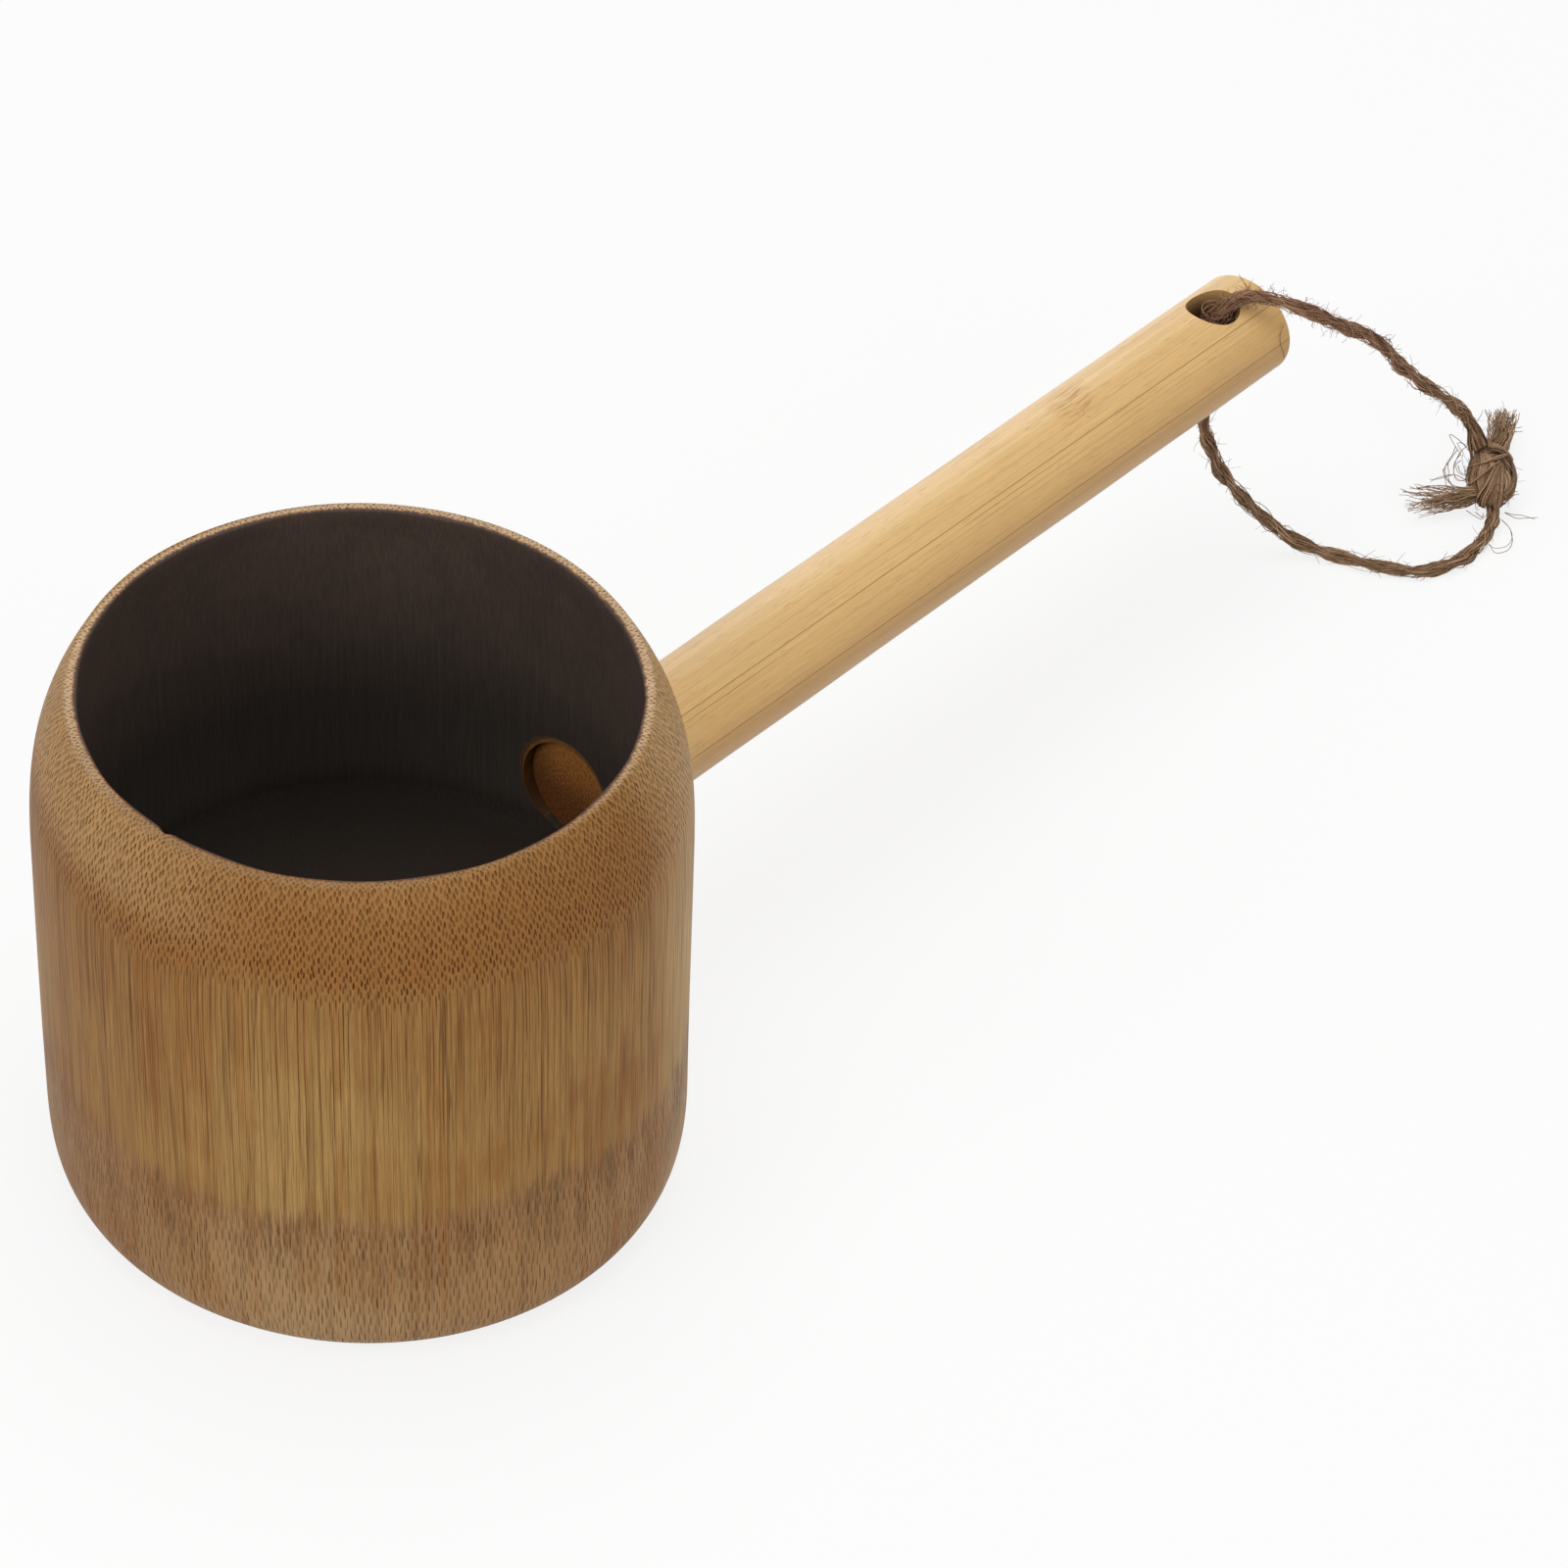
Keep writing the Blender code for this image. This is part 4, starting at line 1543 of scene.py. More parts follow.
UPPER_ROUTE = (
    (0.3, -0.3, 44.55), (0.3, -0.3, 48.6), (0.6, -0.6, 51.8), (2.1, -2.1, 54.6), (4.4, -4.2, 55.9),
    (7.2, -7.6, 55.6), (10.4, -11.4, 53.8), (17.1, -14.6, 48.5), (27.2, -16.5, 40.0), (33.7, -18.1, 31.5),
    (42.0, -20.5, 22.5), (49.1, -21.4, 15.0), (51.7, -22.6, 9.8), (51.43, -24.41, 7.12),
)
LOWER_ROUTE = (
    (0.3, -0.3, 44.25), (0.3, -0.3, 38.0), (0.2, -0.1, 33.0), (0.3, -0.2, 28.3), (1.6, -0.9, 23.2),
    (3.4, -2.3, 17.8), (6.3, -5.8, 11.5), (9.4, -9.7, 6.6), (12.1, -13.9, 3.2), (14.7, -18.5, 1.6),
    (16.7, -23.4, 1.45), (19.3, -29.1, 1.45), (22.5, -33.8, 1.45), (28.2, -36.7, 1.45), (35.5, -36.9, 1.45),
    (41.5, -35.2, 1.8), (44.79, -32.83, 3.05),
)


@dataclass(frozen=True)
class Run:
    """One run of the cord, its route given from the hanging hole's foot.

    Pitch is the length of a full twist and phase where the twist starts, in radians; hairs stand off the run
    and wraps wind round it.
    """

    route: tuple[Point, ...]
    pitch: float
    phase: float
    hairs: int
    wraps: int


RUNS = {
    RunPlace.UPPER: Run(UPPER_ROUTE, 21.0, 0.6, 330, 84),
    RunPlace.LOWER: Run(LOWER_ROUTE, 15.5, 2.1, 250, 70),
}


@dataclass(frozen=True)
class Turn:
    """One band of fibres laid over the knot; its points are (sideways, upward) on the knot's seen face."""

    points: tuple[tuple[float, float], ...]
    widths: tuple[float, float]
    count: int
    lift: float
    run: RunPlace | None = None


TURNS = (
    Turn(((-2.0, 3.9), (-2.2, 2.8), (-2.6, 1.0), (-2.9, -1.0), (-2.5, -2.8)), (4.0, 2.8), 64, 0.99,
         RunPlace.UPPER),
    Turn(((-0.9, 4.0), (-0.5, 2.7), (-0.1, 1.4), (0.2, 0.2)), (2.4, 1.4), 40, 0.97, RunPlace.UPPER),
    Turn(((-2.9, 3.2), (-3.6, 1.4), (-3.9, -0.4), (-3.4, -2.2)), (1.6, 1.4), 22, 0.96),
    Turn(((0.9, 1.6), (2.0, 0.9), (2.6, -0.8), (2.3, -2.4), (1.6, -3.6)), (1.6, 2.6), 34, 0.97),
    Turn(((0.0, 5.4), (1.8, 5.1), (3.3, 3.9), (4.1, 1.9), (3.9, -0.3), (3.0, -2.2), (1.7, -3.4)),
         (1.7, 1.8), 40, 1.03),
    Turn(((0.9, 1.9), (0.3, 0.4), (-0.6, -1.9), (-1.5, -4.0), (-1.3, -5.2)), (1.5, 4.0), 52, 1.04),
    Turn(((0.5, -5.0), (0.7, -3.4), (1.0, -0.8), (1.3, 1.5)), (1.9, 1.0), 26, 1.06, RunPlace.LOWER),
    Turn(((-0.4, 5.0), (1.3, 4.9), (2.7, 4.1), (3.7, 2.9)), (1.6, 1.3), 26, 1.10),
    Turn(((2.7, 3.8), (0.9, 3.1), (-0.9, 2.5), (-3.7, 1.5)), (0.35, 0.25), 3, 1.10),
    Turn(((1.2, 2.4), (-0.2, 1.4), (-1.7, 0.3), (-4.1, -1.6)), (0.45, 0.3), 3, 1.10),
)

CORE_COILS = (
    ((0.25, 0.95, 0.15), 2.0, 34, 0.88),
    ((0.80, 0.45, -0.35), 2.2, 34, 0.91),
    ((-0.55, 0.45, 0.70), 2.0, 30, 0.93),
)

LOOSE_HAIRS = (
    ((-3.8, 5.8, 5.0), (-5.2, 7.2, 5.4), (-6.5, 8.1, 5.0), (-6.0, 6.8, 4.4), (-5.2, 5.3, 4.0),
     (-4.6, 4.1, 3.8)),
    ((-3.6, 5.9, 4.6), (-5.0, 4.6, 5.0), (-6.1, 2.5, 4.8), (-6.4, 0.5, 4.0), (-5.5, -0.5, 3.4),
     (-4.4, -0.7, 3.6)),
    ((-5.4, 5.8, 3.6), (-6.3, 4.1, 3.8), (-7.5, 2.3, 3.4), (-7.7, 0.9, 2.8), (-7.1, -0.7, 2.2),
     (-6.2, -2.1, 1.8)),
    ((-4.6, 3.3, 3.0), (-5.6, 2.5, 3.2), (-5.5, 1.2, 3.0), (-4.6, 0.4, 3.0)),
    ((-6.9, 2.8, 2.6), (-7.8, 1.5, 2.4), (-7.6, 0.0, 2.0), (-6.6, -1.2, 1.6), (-5.3, -1.7, 1.8)),
    ((-4.5, -0.4, 3.8), (-6.2, 0.5, 3.4), (-8.9, 0.0, 2.6), (-10.4, -0.8, 2.0)),
    ((1.8, -3.8, 3.4), (3.2, -3.3, 3.6), (4.9, -2.9, 3.8)),
    ((2.2, -6.4, 2.2), (4.2, -7.3, 1.6), (6.0, -7.2, 1.0), (8.3, -7.0, 0.7)),
    ((1.6, -7.6, 1.2), (2.9, -9.2, 1.0), (3.1, -11.0, 0.9), (1.8, -12.6, 0.8), (-0.4, -12.9, 0.8),
     (-1.3, -12.2, 0.9)),
    ((4.2, 9.4, 3.2), (5.6, 9.0, 3.4), (7.1, 9.1, 3.6)),
    ((4.3, 8.1, 3.2), (5.3, 8.7, 3.4), (5.8, 9.0, 3.4)),
    ((-4.5, -6.0, 1.2), (-3.1, -7.0, 1.0), (-1.9, -7.6, 0.9), (-1.6, -7.0, 0.9)),
    ((-2.6, 9.6, 6.2), (-1.6, 9.0, 6.0), (-1.0, 7.6, 5.6)),
)

SHED_HAIRS = (
    ((130.76, 0.90, 54.16), (129.62, -0.87, 54.44), (128.88, -2.11, 54.44), (127.66, -3.33, 54.27)),
    ((130.20, -9.98, 49.25), (129.21, -10.24, 48.68), (128.61, -10.63, 47.52), (128.72, -10.92, 46.13),
     (129.75, -10.95, 44.10), (130.40, -10.60, 42.40)),
)


@dataclass(frozen=True)
class Tail:
    """One frayed end of the cord.

    Its route is given from the hanging hole's foot. Clumps are where its fibres gather, as shares of half its
    width; reach is how much of the line a fibre covers, as a mean and a spread.
    """

    node: str
    route: tuple[Point, ...]
    widths: tuple[float, float]
    clumps: tuple[float, ...]
    reach: tuple[float, float]
    thickness: tuple[float, float]
    count: int


TAILS = (
    Tail("cord_long_tail",
         ((52.8, -26.4, 4.6), (54.9, -25.0, 4.5), (58.8, -23.4, 3.8), (63.3, -20.6, 3.3), (67.4, -17.9, 3.1)),
         (3.8, 5.4), (-0.62, 0.0, 0.1, 0.66), (0.90, 0.12), (0.08, 0.17), 150),
    Tail("cord_short_tail",
         ((46.4, -30.4, 4.0), (43.6, -29.1, 3.9), (41.3, -27.0, 3.3), (38.4, -24.2, 2.9), (34.6, -20.9, 2.7)),
         (2.6, 8.4), (-0.78, -0.62, -0.5, 0.1, 0.60, 0.85), (0.76, 0.18), (0.06, 0.15), 120),
)


@dataclass
class HangingCord:
    """Two-ply coir cord through the handle, its ends tied in one overhand knot."""

    foot: tuple[float, float] = (120.8, -1.5)
    diameter: float = 2.6
    strand_offset: float = 0.56
    strand_radius: float = 0.66
    yarn_pitch: float = 22.0
    yarns: int = 20
    yarn_radius: float = 0.13
    knot_centre: Point = (49.3, -28.7, 4.25)
    knot_side: tuple[float, float] = (0.671, -0.741)
    knot_half: Point = (4.15, 7.0, 4.0)
    seen_slopes: tuple[float, float] = (0.665, 0.747)
    hair_reach: float = 3.45
    hole_fibres: int = 260
    knot_fibres: int = 110
    chance: random.Random = field(default_factory=lambda: random.Random(11))

    def placed(self, points: tuple[Point, ...]) -> np.ndarray:
        """Move points given from the hanging hole's foot to their place.

        Args:
            points: the points.

        Returns:
            The moved points, (n, 3).
        """
        moved = np.array(points)
        moved[:, :2] += self.foot
        return moved

    def spin_yarns(self, skin: Skin, line: np.ndarray, pitch: float, phase: float) -> None:
        """Lay the yarns of both strands round a line.

        Args:
            skin: the piece being made.
            line: the cord's centreline.
            pitch: length of one full twist.
            phase: where the twist starts, in radians.
        """
        frames, draw = frames_along(line), self.chance.uniform
        along = np.linspace(0.0, CORD_STEP * (len(line) - 1), len(line))
        swell = 1.0 + 0.09 * np.sin(along / 4.3 + phase) + 0.05 * np.sin(along / 1.7 + 2.0 * phase)
        for strand in range(2):
            turn = FULL_TURN * along / pitch + phase + strand * math.pi + 0.5 * np.sin(along / 9.0 + phase)
            hub = around(line, frames, self.strand_offset * swell, turn)
            # Each strand's hidden core gets the darkest tint, painted shade in the gaps between the yarns.
            skin.fibre(hub, 0.50, 8, 0.02)
            for yarn in range(self.yarns):
                spin = -FULL_TURN * along / self.yarn_pitch + FULL_TURN * yarn / self.yarns
                spin = spin + 0.45 * np.sin(along / draw(2.0, 5.0) + draw(0.0, 6.0))
                lift = self.strand_radius * swell - 0.10
                lift = lift + 0.09 * np.sin(along / draw(1.2, 3.5) + draw(0.0, 6.0))
                lift = lift + 0.05 * np.sin(along / draw(0.6, 1.1) + draw(0.0, 6.0))
                track = above(around(hub, frames, lift, spin), 0.16)
                skin.fibre(track, self.yarn_radius * draw(0.6, 1.25), 5, draw(0.10, 0.85))

    def hair(self, start: np.ndarray, along: np.ndarray, outward: np.ndarray, length: float, curl: float
             ) -> np.ndarray:
        """Path of one stray hair that leaves the cord and bends away.

        Args:
            start: where it leaves, (3,).
            along: the cord's direction there.
            outward: the direction away from the cord.
            length: how long it is.
            curl: how far it turns, in radians.

        Returns:
            Its points.
        """
        lean = self.chance.uniform(0.15, 1.2)
        heading = along * math.cos(lean) + outward * math.sin(lean)
        side = np.cross(along, outward) * self.chance.choice((-1.0, 1.0))
        side = side + outward * self.chance.uniform(-0.9, 0.3)
        side = unit(side - heading * side.dot(heading))
        turn = curl * np.linspace(0.0, 1.0, 9)[:, None]
        steps = (heading * np.cos(turn) + side * np.sin(turn)) * length / 8.0
        return above(start + np.concatenate([np.zeros((1, 3)), np.cumsum(steps[:-1], axis=0)]), 0.08)

    def fray(self, skin: Skin, line: np.ndarray, count: int, first_point: int = 14,
             last_point: int | None = None, longest: float = 2.8, curl: float = 1.4) -> None:
        """Scatter stray hairs along a run.

        Args:
            skin: the piece being made.
            line: the cord's centreline.
            count: how many hairs.
            first_point: the centreline point where they begin.
            last_point: the centreline point where they end.
            longest: the greatest length of a hair.
            curl: the greatest turn of a hair, in radians.
        """
        first, second = frames_along(line)
        tangent = np.cross(first, second)
        draw = self.chance.uniform
        for _ in range(count):
            i = self.chance.randrange(first_point, last_point or len(line) - 2)
            turn = draw(0.0, FULL_TURN)
            outward = first[i] * math.cos(turn) + second[i] * math.sin(turn)
            way = tangent[i] * self.chance.choice((-1.0, 1.0))
            length = min(longest, 0.7 + self.chance.expovariate(1.0))
            track = self.hair(line[i] + outward * 0.85, way, outward, length, draw(0.1, curl))
            away = np.linalg.norm(track[:, None, :] - line[None, ::3, :], axis=2).min(axis=1).max()
            track = track[0] + (track - track[0]) * min(1.0, self.hair_reach / max(away, 1e-6)) ** 2
            thick = draw(0.034, 0.062)
            skin.fibre(track, np.linspace(thick, 0.6 * thick, len(track)), 4, draw(0.1, 0.95))

    def wrap(self, skin: Skin, line: np.ndarray, count: int) -> None:
        """Wind loose fibres round a run, just off its surface.

        Args:
            skin: the piece being made.
            line: the cord's centreline.
            count: how many fibres.
        """
        first, second = frames_along(line)
        draw = self.chance.uniform
        for _ in range(count):
            begin = self.chance.randrange(8, len(line) - 14)
            steps = self.chance.randrange(8, min(32, len(line) - begin))
            part = slice(begin, begin + steps)
            share = np.linspace(0.0, 1.0, steps)
            wind = self.chance.choice((-1.0, 1.0, 1.0)) * steps * CORD_STEP / draw(1.8, 7.0)
            turn = draw(0.0, 6.28) + wind * share
            away = draw(0.84, 1.10) + draw(0.0, 0.50) * np.sin(share * math.pi)
            away = away + 0.10 * np.sin(share * draw(5.0, 25.0) + wind)
            track = above(around(line[part], (first[part], second[part]), away, turn), 0.12)
            skin.fibre(track, draw(0.05, 0.10) * np.sqrt(np.sin(share * 2.9 + 0.12)), 4, draw(0.0, 0.95))

    def fill_hole(self, skin: Skin, line: np.ndarray) -> None:
        """Crowd loose fibres round the cord where it comes up through the handle.

        Args:
            skin: the piece being made.
            line: the upper run's centreline.
        """
        x, y, z = line[0]
        draw = self.chance.uniform
        for _ in range(self.hole_fibres):
            level = z + self.chance.triangular(0.6, 8.8, 7.4)
            turn = draw(0.0, FULL_TURN) + np.linspace(0.0, draw(-2.6, 3.2), 12)
            reach = draw(1.0, 3.3) * (1.0 - 0.45 * np.cos(turn * draw(0.5, 1.6)))
            reach = np.minimum(reach, 3.35)
            climb = np.linspace(0.0, draw(-1.2, 1.8), 12)
            climb = climb + draw(0.2, 2.2) * np.sin(turn + draw(0.0, 6.28))
            height = np.clip(level + climb, z + 0.3, z + 8.9)
            track = np.stack([x + 0.7 + reach * np.cos(turn), y - 0.8 + reach * np.sin(turn), height], axis=1)
            apart = np.linalg.norm(track[:, None, :] - line[None, :60, :], axis=2)
            nearest = line[apart.argmin(axis=1)]
            track = nearest + (track - nearest) * np.minimum(1.0, 3.3 / apart.min(axis=1))[:, None]
            off = track[:, :2] - np.array(self.foot)
            track[:, :2] -= off * (1.0 - np.minimum(1.0, 4.35 / np.linalg.norm(off, axis=1)))[:, None]
            # Their tints stay darker than the other fibres', painted shade inside the hole.
            skin.fibre(track, draw(0.04, 0.09), 4, draw(0.0, 0.7))

    def build_run(self, place: RunPlace, material: bpy.types.Material) -> tuple[bpy.types.Object, np.ndarray]:
        """Make one run of the cord.

        Args:
            place: which run.
            material: its finish.

        Returns:
            The piece and its centreline in millimetres.
        """
        run = RUNS[place]
        line = smooth_line(self.placed(run.route), CORD_STEP)
        skin = Skin()
        self.spin_yarns(skin, line, run.pitch, run.phase)
        self.fray(skin, line, run.hairs)
        self.wrap(skin, line, run.wraps)
        if place is RunPlace.UPPER:
            self.fill_hole(skin, line)
            self.fray(skin, line, 170, 7, 26, 2.8, 3.8)
            self.fray(skin, line, 130, 20, 62, 3.2, 3.0)
        name = place.value.replace("cord_", "coir_")
        piece = add_piece(name, skin.mesh(name), material, "hanging_loop")
        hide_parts(place.value)
        return piece, line

    def knot_place(self, side: np.ndarray, forward: np.ndarray, height: np.ndarray) -> np.ndarray:
        """Turn the knot's own three measures into points in space.

        Args:
            side: how far each point is across the knot.
            forward: how far it is along the knot.
            height: how far it is above the knot's middle.

        Returns:
            The points, with three measures each.
        """
        x, y = self.knot_side
        return np.stack([self.foot[0] + self.knot_centre[0] + side * x - forward * y,
                         self.foot[1] + self.knot_centre[1] + side * y + forward * x,
                         np.maximum(self.knot_centre[2] + height, 0.22)], axis=-1)

    def from_face(self, side: np.ndarray, up: np.ndarray, scale: np.ndarray | float) -> np.ndarray:
        """Lay points of the knot's seen face on its rounded body.

        Args:
            side: how far each point is to the side, in millimetres.
            up: how far up it is as seen.
            scale: size of the body that it lies on.

        Returns:
            The points in space.
        """
        across, lengthways, tall = self.knot_half
        flat, steep = self.seen_slopes
        slant = flat * lengthways
        far = np.sqrt((side / across) ** 2 + (up / math.hypot(slant, steep * tall)) ** 2)
        shrink = np.minimum(1.0, 0.985 / np.maximum(far, 1e-6))
        side, up = side * shrink, up * shrink
        a = steep ** 2 / slant ** 2 + 1.0 / tall ** 2
        b = -2.0 * up * steep / slant ** 2
        c = (up / slant) ** 2 - (1.0 - (side / across) ** 2)
        height = (-b + np.sqrt(np.maximum(b * b - 4.0 * a * c, 0.0))) / (2.0 * a)
        return self.knot_place(side * scale, (up - steep * height) / flat * scale, height * scale)

    def tone(self) -> float:
        """Give a fibre's tint, oftener dark or light than between."""
        share = self.chance.random()
        return share * share * (3.0 - 2.0 * share)

    def wind_core(self, skin: Skin) -> None:
        """Make the knot's body, given the darkest tint as painted shade between its fibres, with three rough
        coils of fibres round it.

        Args:
            skin: the piece being made.
        """
        draw = self.chance.uniform
        across, lengthways, tall = self.knot_half
        polar = np.linspace(0.06, math.pi - 0.06, 16)[:, None]
        turn = circle(24)
        ring = np.sin(polar) * 0.84
        # The body's darkest tint is painted shade seen between the knot's fibres.
        skin.loft(self.knot_place(ring * np.cos(turn) * across,
                                  np.broadcast_to(np.cos(polar), (16, 24)) * lengthways * 0.84,
                                  ring * np.sin(turn) * tall), 0.02)
        angle = np.linspace(0.0, FULL_TURN, 41)
        for axis, width, count, scale in CORE_COILS:
            normal = unit(np.array(axis))
            aside = unit(np.cross(normal, (0.0, 0.0, 1.0)))
            other = np.cross(normal, aside)
            for i in range(count):
                sweep = draw(0.0, 6.28) + angle * draw(0.4, 0.9)
                slant = (i / (count - 1) - 0.5) * width * 0.5 + draw(-0.05, 0.05)
                slant = slant + 0.10 * np.sin(sweep * 2.0 + i * 0.2)
                way = around(normal * np.sin(slant)[:, None], (aside, other), np.cos(slant), sweep)
                size = scale * draw(0.96, 1.04)
                track = self.knot_place(*(way * self.knot_half * size).T)
                thick = draw(0.09, 0.16) * np.clip(np.minimum(angle, angle[::-1]) * 3.0 + 0.3, 0.0, 1.0)
                skin.fibre(track, thick, 5, 0.7 * self.tone())

    def lay_turn(self, skin: Skin, turn: Turn, runs: dict[RunPlace, np.ndarray]) -> None:
        """Lay one band of fibres over the knot.

        Args:
            skin: the piece being made.
            turn: the band.
            runs: centreline of each run, which a band may grow out of.
        """
        draw = self.chance.uniform
        middle = smooth_line(np.array([(*point, 0.0) for point in turn.points]), 0.35)
        share = np.linspace(0.0, 1.0, len(middle))
        heading = np.gradient(middle, axis=0)
        heading /= np.linalg.norm(heading, axis=1, keepdims=True)
        width = turn.widths[0] + (turn.widths[1] - turn.widths[0]) * share
        for _ in range(turn.count):
            off = draw(-0.5, 0.5)
            lateral = off * width + draw(-0.12, 0.12) * np.sin(share * math.pi * draw(0.8, 2.4))
            side = middle[:, 0] - heading[:, 1] * lateral
            up = middle[:, 1] + heading[:, 0] * lateral
            scale = turn.lift + 0.07 * (1.0 - 4.0 * off * off) + draw(-0.035, 0.02)
            track = self.from_face(side, up, scale)
            if turn.run is not None:
                aside = np.array((*self.knot_side, 0.0)) * off
                lead = runs[turn.run][[-11, -7]] + aside * np.array(((1.9,), (2.6,)))
                lead = above(lead + (0.0, 0.0, draw(-0.2, 0.5)), 0.3)
                if turn.run is RunPlace.UPPER:
                    rise = draw(1.2, 2.9)
                    beside = turn.points[0][0] + 0.05 + off * (turn.widths[0] - 0.3)
                    ahead = (6.1 - self.seen_slopes[1] * rise) / self.seen_slopes[0]
                    lead = np.vstack([lead, self.knot_place(*np.array((beside, ahead, rise)))])
                track = smooth_line(np.concatenate([lead, track[2:-1:3], track[-1:]]), FIBRE_STEP)
            thick = draw(0.08, 0.15)
            from_end = np.minimum(np.arange(len(track)), np.arange(len(track))[::-1])
            skin.fibre(track, thick * np.clip(from_end / 2.0 + 0.35, 0.0, 1.0), 5, 0.78 * self.tone())

    def tousle(self, skin: Skin) -> None:
        """Lay wild fibres at random over the knot and let others stand off it.

        Args:
            skin: the piece being made.
        """
        draw, count = self.chance.uniform, self.knot_fibres
        size = np.array(self.knot_half)
        for i in range(count + count // 2):
            way = unit(np.array([self.chance.gauss(0.0, 1.0) for _ in range(3)]))
            heading = unit(np.cross(way, [self.chance.gauss(0.0, 1.0) for _ in range(3)]))
            if i >= count:
                start, along, outward = (self.knot_place(*(v * size)) for v in (way * 0.93, heading, way))
                centre = self.knot_place(*np.zeros(3))
                track = self.hair(start, unit(along - centre), unit(outward - centre), draw(1.0, 4.2),
                                  draw(0.3, 3.2))
                thick = np.linspace(0.055, 0.03, len(track))
            else:
                lift, bend, points = draw(0.97, 1.03), draw(-1.5, 1.5), []
                for _ in range(self.chance.randrange(5, 13)):
                    points.append(way * size * lift)
                    heading = heading + np.cross(way, heading) * bend * 0.12
                    way = unit(way + heading * 0.15)
                    heading = unit(heading - way * heading.dot(way))
                    lift += draw(-0.015, 0.022)
                track = smooth_line(self.knot_place(*np.array(points).T), FIBRE_STEP)
                thick = draw(0.04, 0.10)
            skin.fibre(track, thick, 4, self.chance.choice((0.0, 0.0, 0.1, 0.3, 0.6, 1.0)))

    def loosen(self, skin: Skin) -> None:
        """Let long hairs stand off the knot, each where it is seen and once more a little aside.

        Args:
            skin: the piece being made.
        """
        draw = self.chance.uniform
        flat, steep = self.seen_slopes
        for i, hair in enumerate(LOOSE_HAIRS * 2):
            points = np.array(hair)
            if i >= len(LOOSE_HAIRS):
                points = points[self.chance.randrange(0, 2):] * draw(0.86, 1.05)
                points[1:, :2] += np.array([[draw(-0.6, 0.6) for _ in range(2)] for _ in points[1:]])
            height = points[:, 2] - self.knot_centre[2]
            forward = (points[:, 1] - steep * height) / flat
            track = smooth_line(self.knot_place(points[:, 0], forward, height), 0.5)
            skin.fibre(track, np.linspace(0.075, 0.05, len(track)), 5, draw(0.0, 0.6))

    def build_knot(self, material: bpy.types.Material, runs: dict[RunPlace, np.ndarray]) -> bpy.types.Object:
        """Wind the knot's turns round its core.

        Args:
            material: its finish.
            runs: centreline of each run.

        Returns:
            The knot.
        """
        skin = Skin()
        self.wind_core(skin)
        for turn in TURNS:
            self.lay_turn(skin, turn, runs)
        self.tousle(skin)
        self.loosen(skin)
        piece = add_piece("coir_knot", skin.mesh("coir_knot"), material, "hanging_loop")
        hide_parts("cord_knot")
        return piece

    def build_tail(self, tail: Tail, material: bpy.types.Material) -> bpy.types.Object:
        """Make one frayed end as a brush of loose fibres.

        Args:
            tail: the frayed end.
            material: its finish.

        Returns:
            The tail.
        """
        draw = self.chance.uniform
        line = smooth_line(self.placed(tail.route), FIBRE_STEP)
        first, second = frames_along(line)
        share = np.linspace(0.0, 1.0, len(line))
        half = (tail.widths[0] + (tail.widths[1] - tail.widths[0]) * share ** 1.5) / 2.0
        skin = Skin()
        for _ in range(tail.count):
            angle = draw(0.0, FULL_TURN)
            far = self.chance.random() ** 0.6
            clump = self.chance.choice(tail.clumps)
            sideways = clump * share ** 0.7 + far * math.cos(angle) * (1.0 - 0.66 * share)
            wander = draw(-0.5, 0.5) * np.sin(share * math.pi * draw(0.7, 3.2))
            stray = self.chance.choice((0.0, 0.0, 0.0, 0.0, 1.0)) * draw(-1.8, 1.8) * share ** 3
            rough = 0.10 * np.sin(share * draw(14.0, 40.0) + angle)
            track = (line + second * (sideways * half + wander * share ** 0.6 + stray + rough)[:, None]
                     + first * (far * math.sin(angle) * np.minimum(half, 1.7) + rough - 0.3 * stray)[:, None])
            last = max(8, int(len(line) * min(1.0, self.chance.gauss(*tail.reach))))
            thick = draw(*tail.thickness)
            skin.fibre(above(track[:last], 0.12), thick * np.linspace(1.0, 0.5, last), 5, draw(0.1, 0.95))
        self.fray(skin, line, 50, len(line) // 3, len(line) - 2, 3.0, 1.9)
        name = tail.node.replace("cord_", "coir_")
        piece = add_piece(name, skin.mesh(name), material, "hanging_loop")
        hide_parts(tail.node)
        return piece

    def build_shed_hairs(self, material: bpy.types.Material) -> bpy.types.Object:
        """Lay two shed hairs on the handle's end.

        Args:
            material: their finish.

        Returns:
            The hairs.
        """
        skin = Skin()
        for route in SHED_HAIRS:
            skin.fibre(smooth_line(np.array(route), FIBRE_STEP), 0.045, 5, 0.3)
        piece = add_piece("coir_shed_hairs", skin.mesh("coir_shed_hairs"), material, "ladle")
        return piece

    def build(self, material: bpy.types.Material) -> list[bpy.types.Object]:
        """Args:
            material: its finish.

        Returns:
            Every piece of it.
        """
        upper, upper_line = self.build_run(RunPlace.UPPER, material)
        lower, lower_line = self.build_run(RunPlace.LOWER, material)
        knot = self.build_knot(material, {RunPlace.UPPER: upper_line, RunPlace.LOWER: lower_line})
        long_tail, short_tail = (self.build_tail(tail, material) for tail in TAILS)
        cords = ((upper, upper_line, [knot, long_tail]), (lower, lower_line, [short_tail]))
        for piece, line, extras in cords:
            length = float(np.linalg.norm(np.diff(line, axis=0), axis=1).sum())
            tuple(line[0] * MM)
            (line * MM).tolist()
            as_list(extras)
        return [upper, lower, knot, long_tail, short_tail, self.build_shed_hairs(material)]


@dataclass(frozen=True)
class Lamp:
    """One soft round lamp, in metres."""

    name: str
    place: Point
    size: float
    watts: float


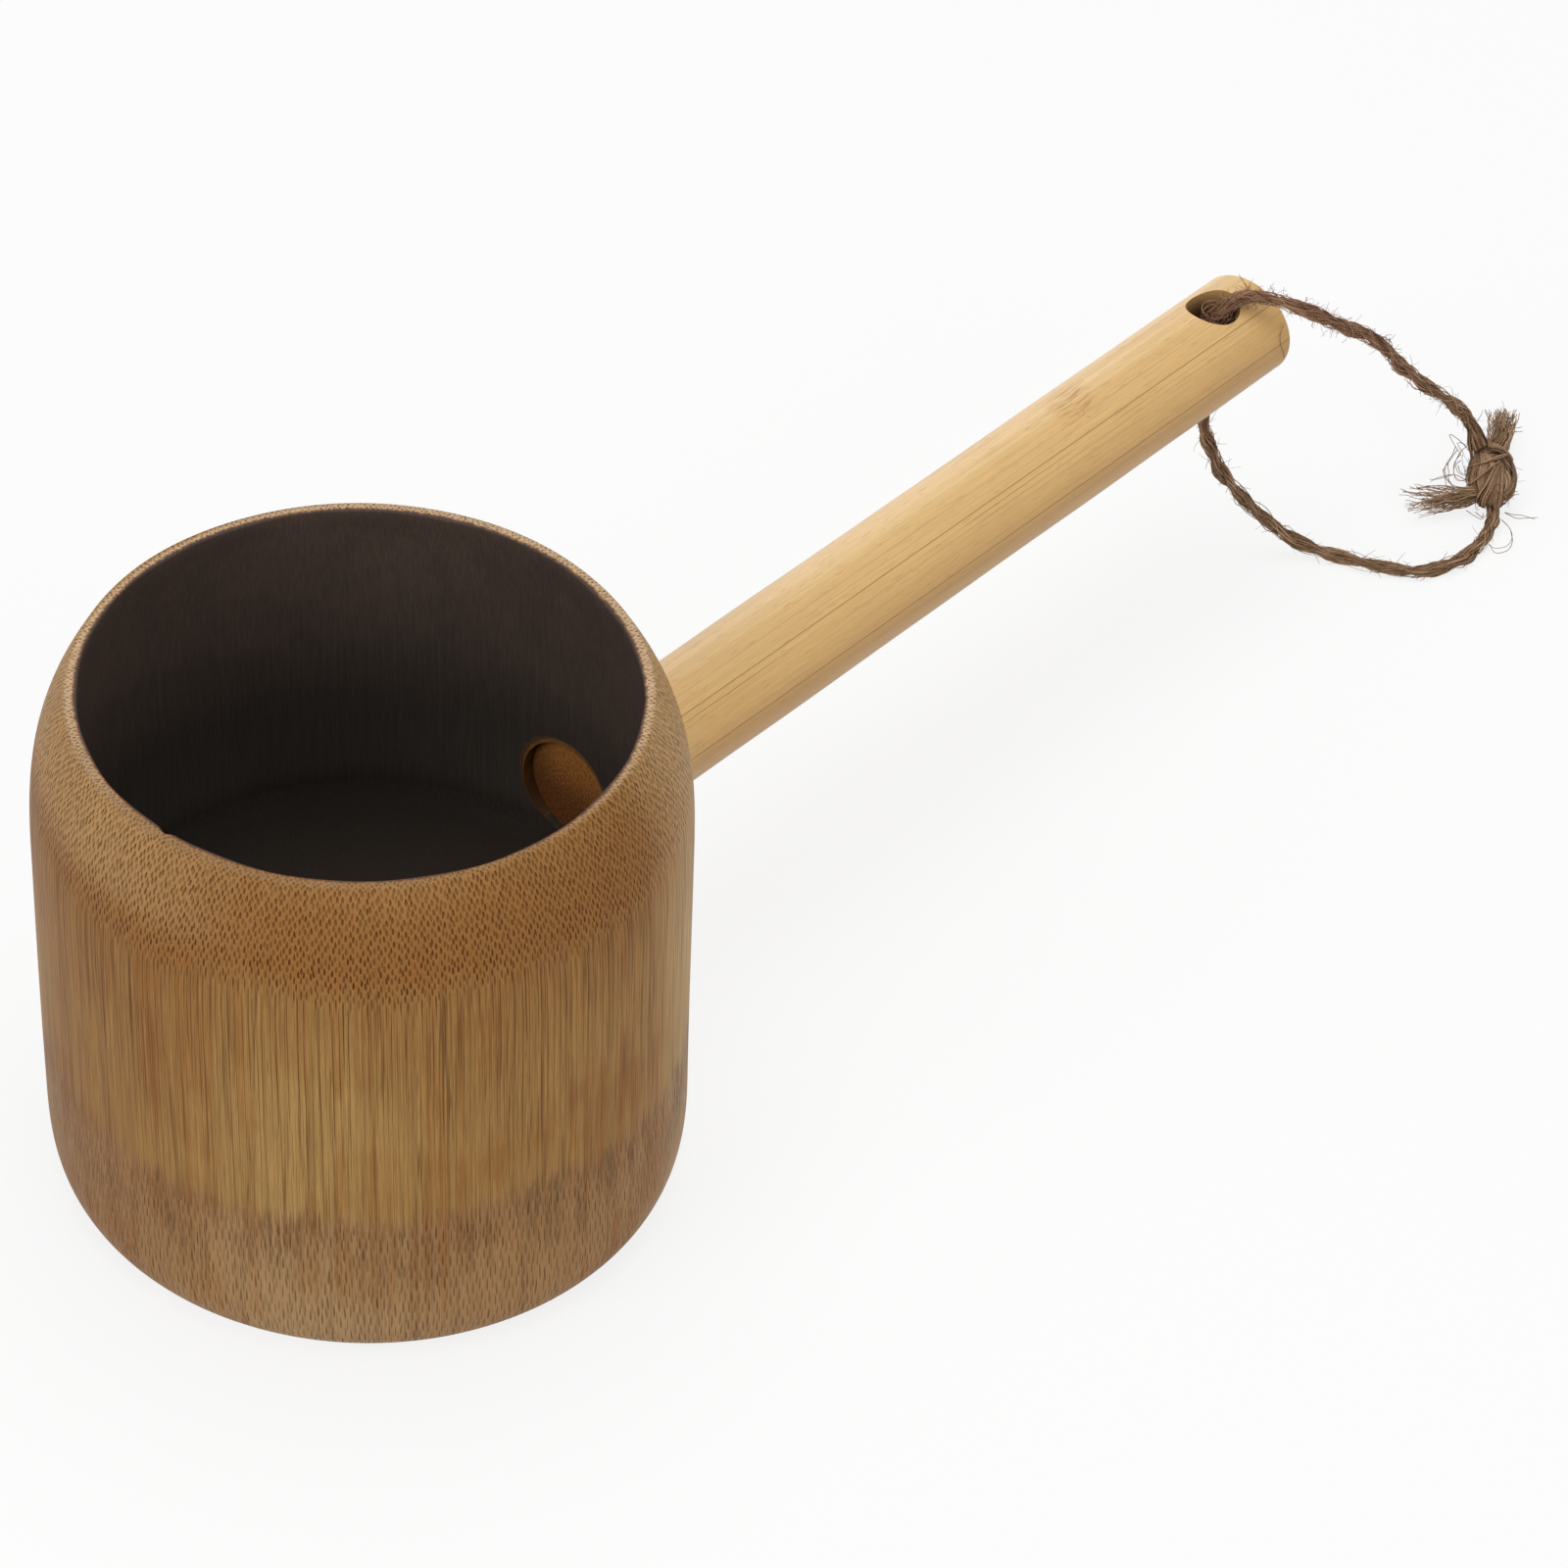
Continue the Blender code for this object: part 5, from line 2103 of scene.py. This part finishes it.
@dataclass
class Studio:
    """Plain pale floor, soft light and the camera at the photograph's angle, in metres."""

    camera_place: Point = (-0.56018, -0.49354, 0.68377)
    right: Point = (0.6711, -0.7407, 0.0306)
    up: Point = (0.4767, 0.4627, 0.7474)
    forward: Point = (0.5678, 0.4870, -0.6637)
    lens_mm: float = 140.36
    sensor_mm: float = 36.0
    floor_radius: float = 6.0
    floor_colour: Colour = (0.93, 0.93, 0.93)
    glow_colour: Colour = (1.0, 1.0, 1.0)
    lamps: tuple[Lamp, ...] = (
        Lamp("top_lamp", (0.10, 0.15, 1.30), 1.1, 7.4),
        Lamp("left_lamp", (-1.25, 0.10, 0.85), 0.9, 5.8),
        Lamp("front_lamp", (-0.35, -1.30, 0.70), 0.9, 3.8),
    )

    def add_camera(self) -> None:
        """Set up the camera."""
        data = bpy.data.cameras.new("camera")
        data.sensor_width = self.sensor_mm
        data.lens = self.lens_mm
        data.clip_start = 0.01
        data.clip_end = 20.0
        camera = add_object("camera", data)
        columns = [Vector(self.right), Vector(self.up), -Vector(self.forward)]
        turn = Matrix(columns).transposed().to_4x4()
        camera.matrix_world = Matrix.Translation(Vector(self.camera_place)) @ turn
        bpy.context.scene.camera = camera

    def add_floor(self) -> None:
        """Lay the pale floor, which keeps the soft shadow."""
        material = bpy.data.materials.new("pale_floor")
        material.use_nodes = True
        graph = Graph(material.node_tree)
        share = graph.fed("ShaderNodeMixShader", graph.seen_directly() * 0.82,
                          graph.fed("ShaderNodeBsdfDiffuse", self.floor_colour).outputs[0],
                          graph.fed("ShaderNodeEmission", self.glow_colour).outputs[0])
        graph.fed("ShaderNodeOutputMaterial", share.outputs[0])
        shape = bmesh.new()
        bmesh.ops.create_circle(shape, cap_ends=True, segments=64, radius=self.floor_radius)
        mesh = bpy.data.meshes.new("floor")
        shape.to_mesh(mesh)
        shape.free()
        mesh.materials.append(material)
        add_object("floor", mesh)

    def add_light(self) -> None:
        """Hang the soft lamps and set the world."""
        world = bpy.data.worlds.new("studio")
        world.use_nodes = True
        graph = Graph(world.node_tree)
        back = graph.node("ShaderNodeBackground")
        graph.feed(back.inputs["Strength"], graph.seen_directly() * 0.52 + 0.48)
        graph.fed("ShaderNodeOutputWorld", back.outputs[0])
        bpy.context.scene.world = world
        for lamp in self.lamps:
            data = bpy.data.lights.new(lamp.name, 'AREA')
            data.shape = 'DISK'
            data.size = lamp.size
            data.energy = lamp.watts
            hung = add_object(lamp.name, data)
            hung.location = lamp.place
            aim = Vector((0.0, 0.0, 0.04)) - Vector(lamp.place)
            hung.rotation_euler = aim.to_track_quat('-Z', 'Y').to_euler()

    def build(self) -> None:
        """Set up camera, floor and light."""
        self.add_camera()
        self.add_floor()
        self.add_light()
        bpy.context.scene.view_settings.view_transform = 'Standard'


def main() -> None:
    """Build every class in order and report each piece."""
    logging.basicConfig(level=logging.INFO, format="%(name)s: %(message)s")
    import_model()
    Studio().build()
    LOG.info("studio ready")
    effects = SharedEffects()
    cup, handle, cord = Cup(), Handle(), HangingCord()
    pieces = cord.build(CoirFinish().make(effects))
    pieces.append(cup.build(CulmFinish().make(cup, handle, effects), handle))
    pieces += handle.build(StripFinish().make(cup, handle, effects))
    for piece in pieces:
        LOG.info("%s: %d points", piece.name, len(piece.data.vertices))


if __name__ == "__main__":
    main()
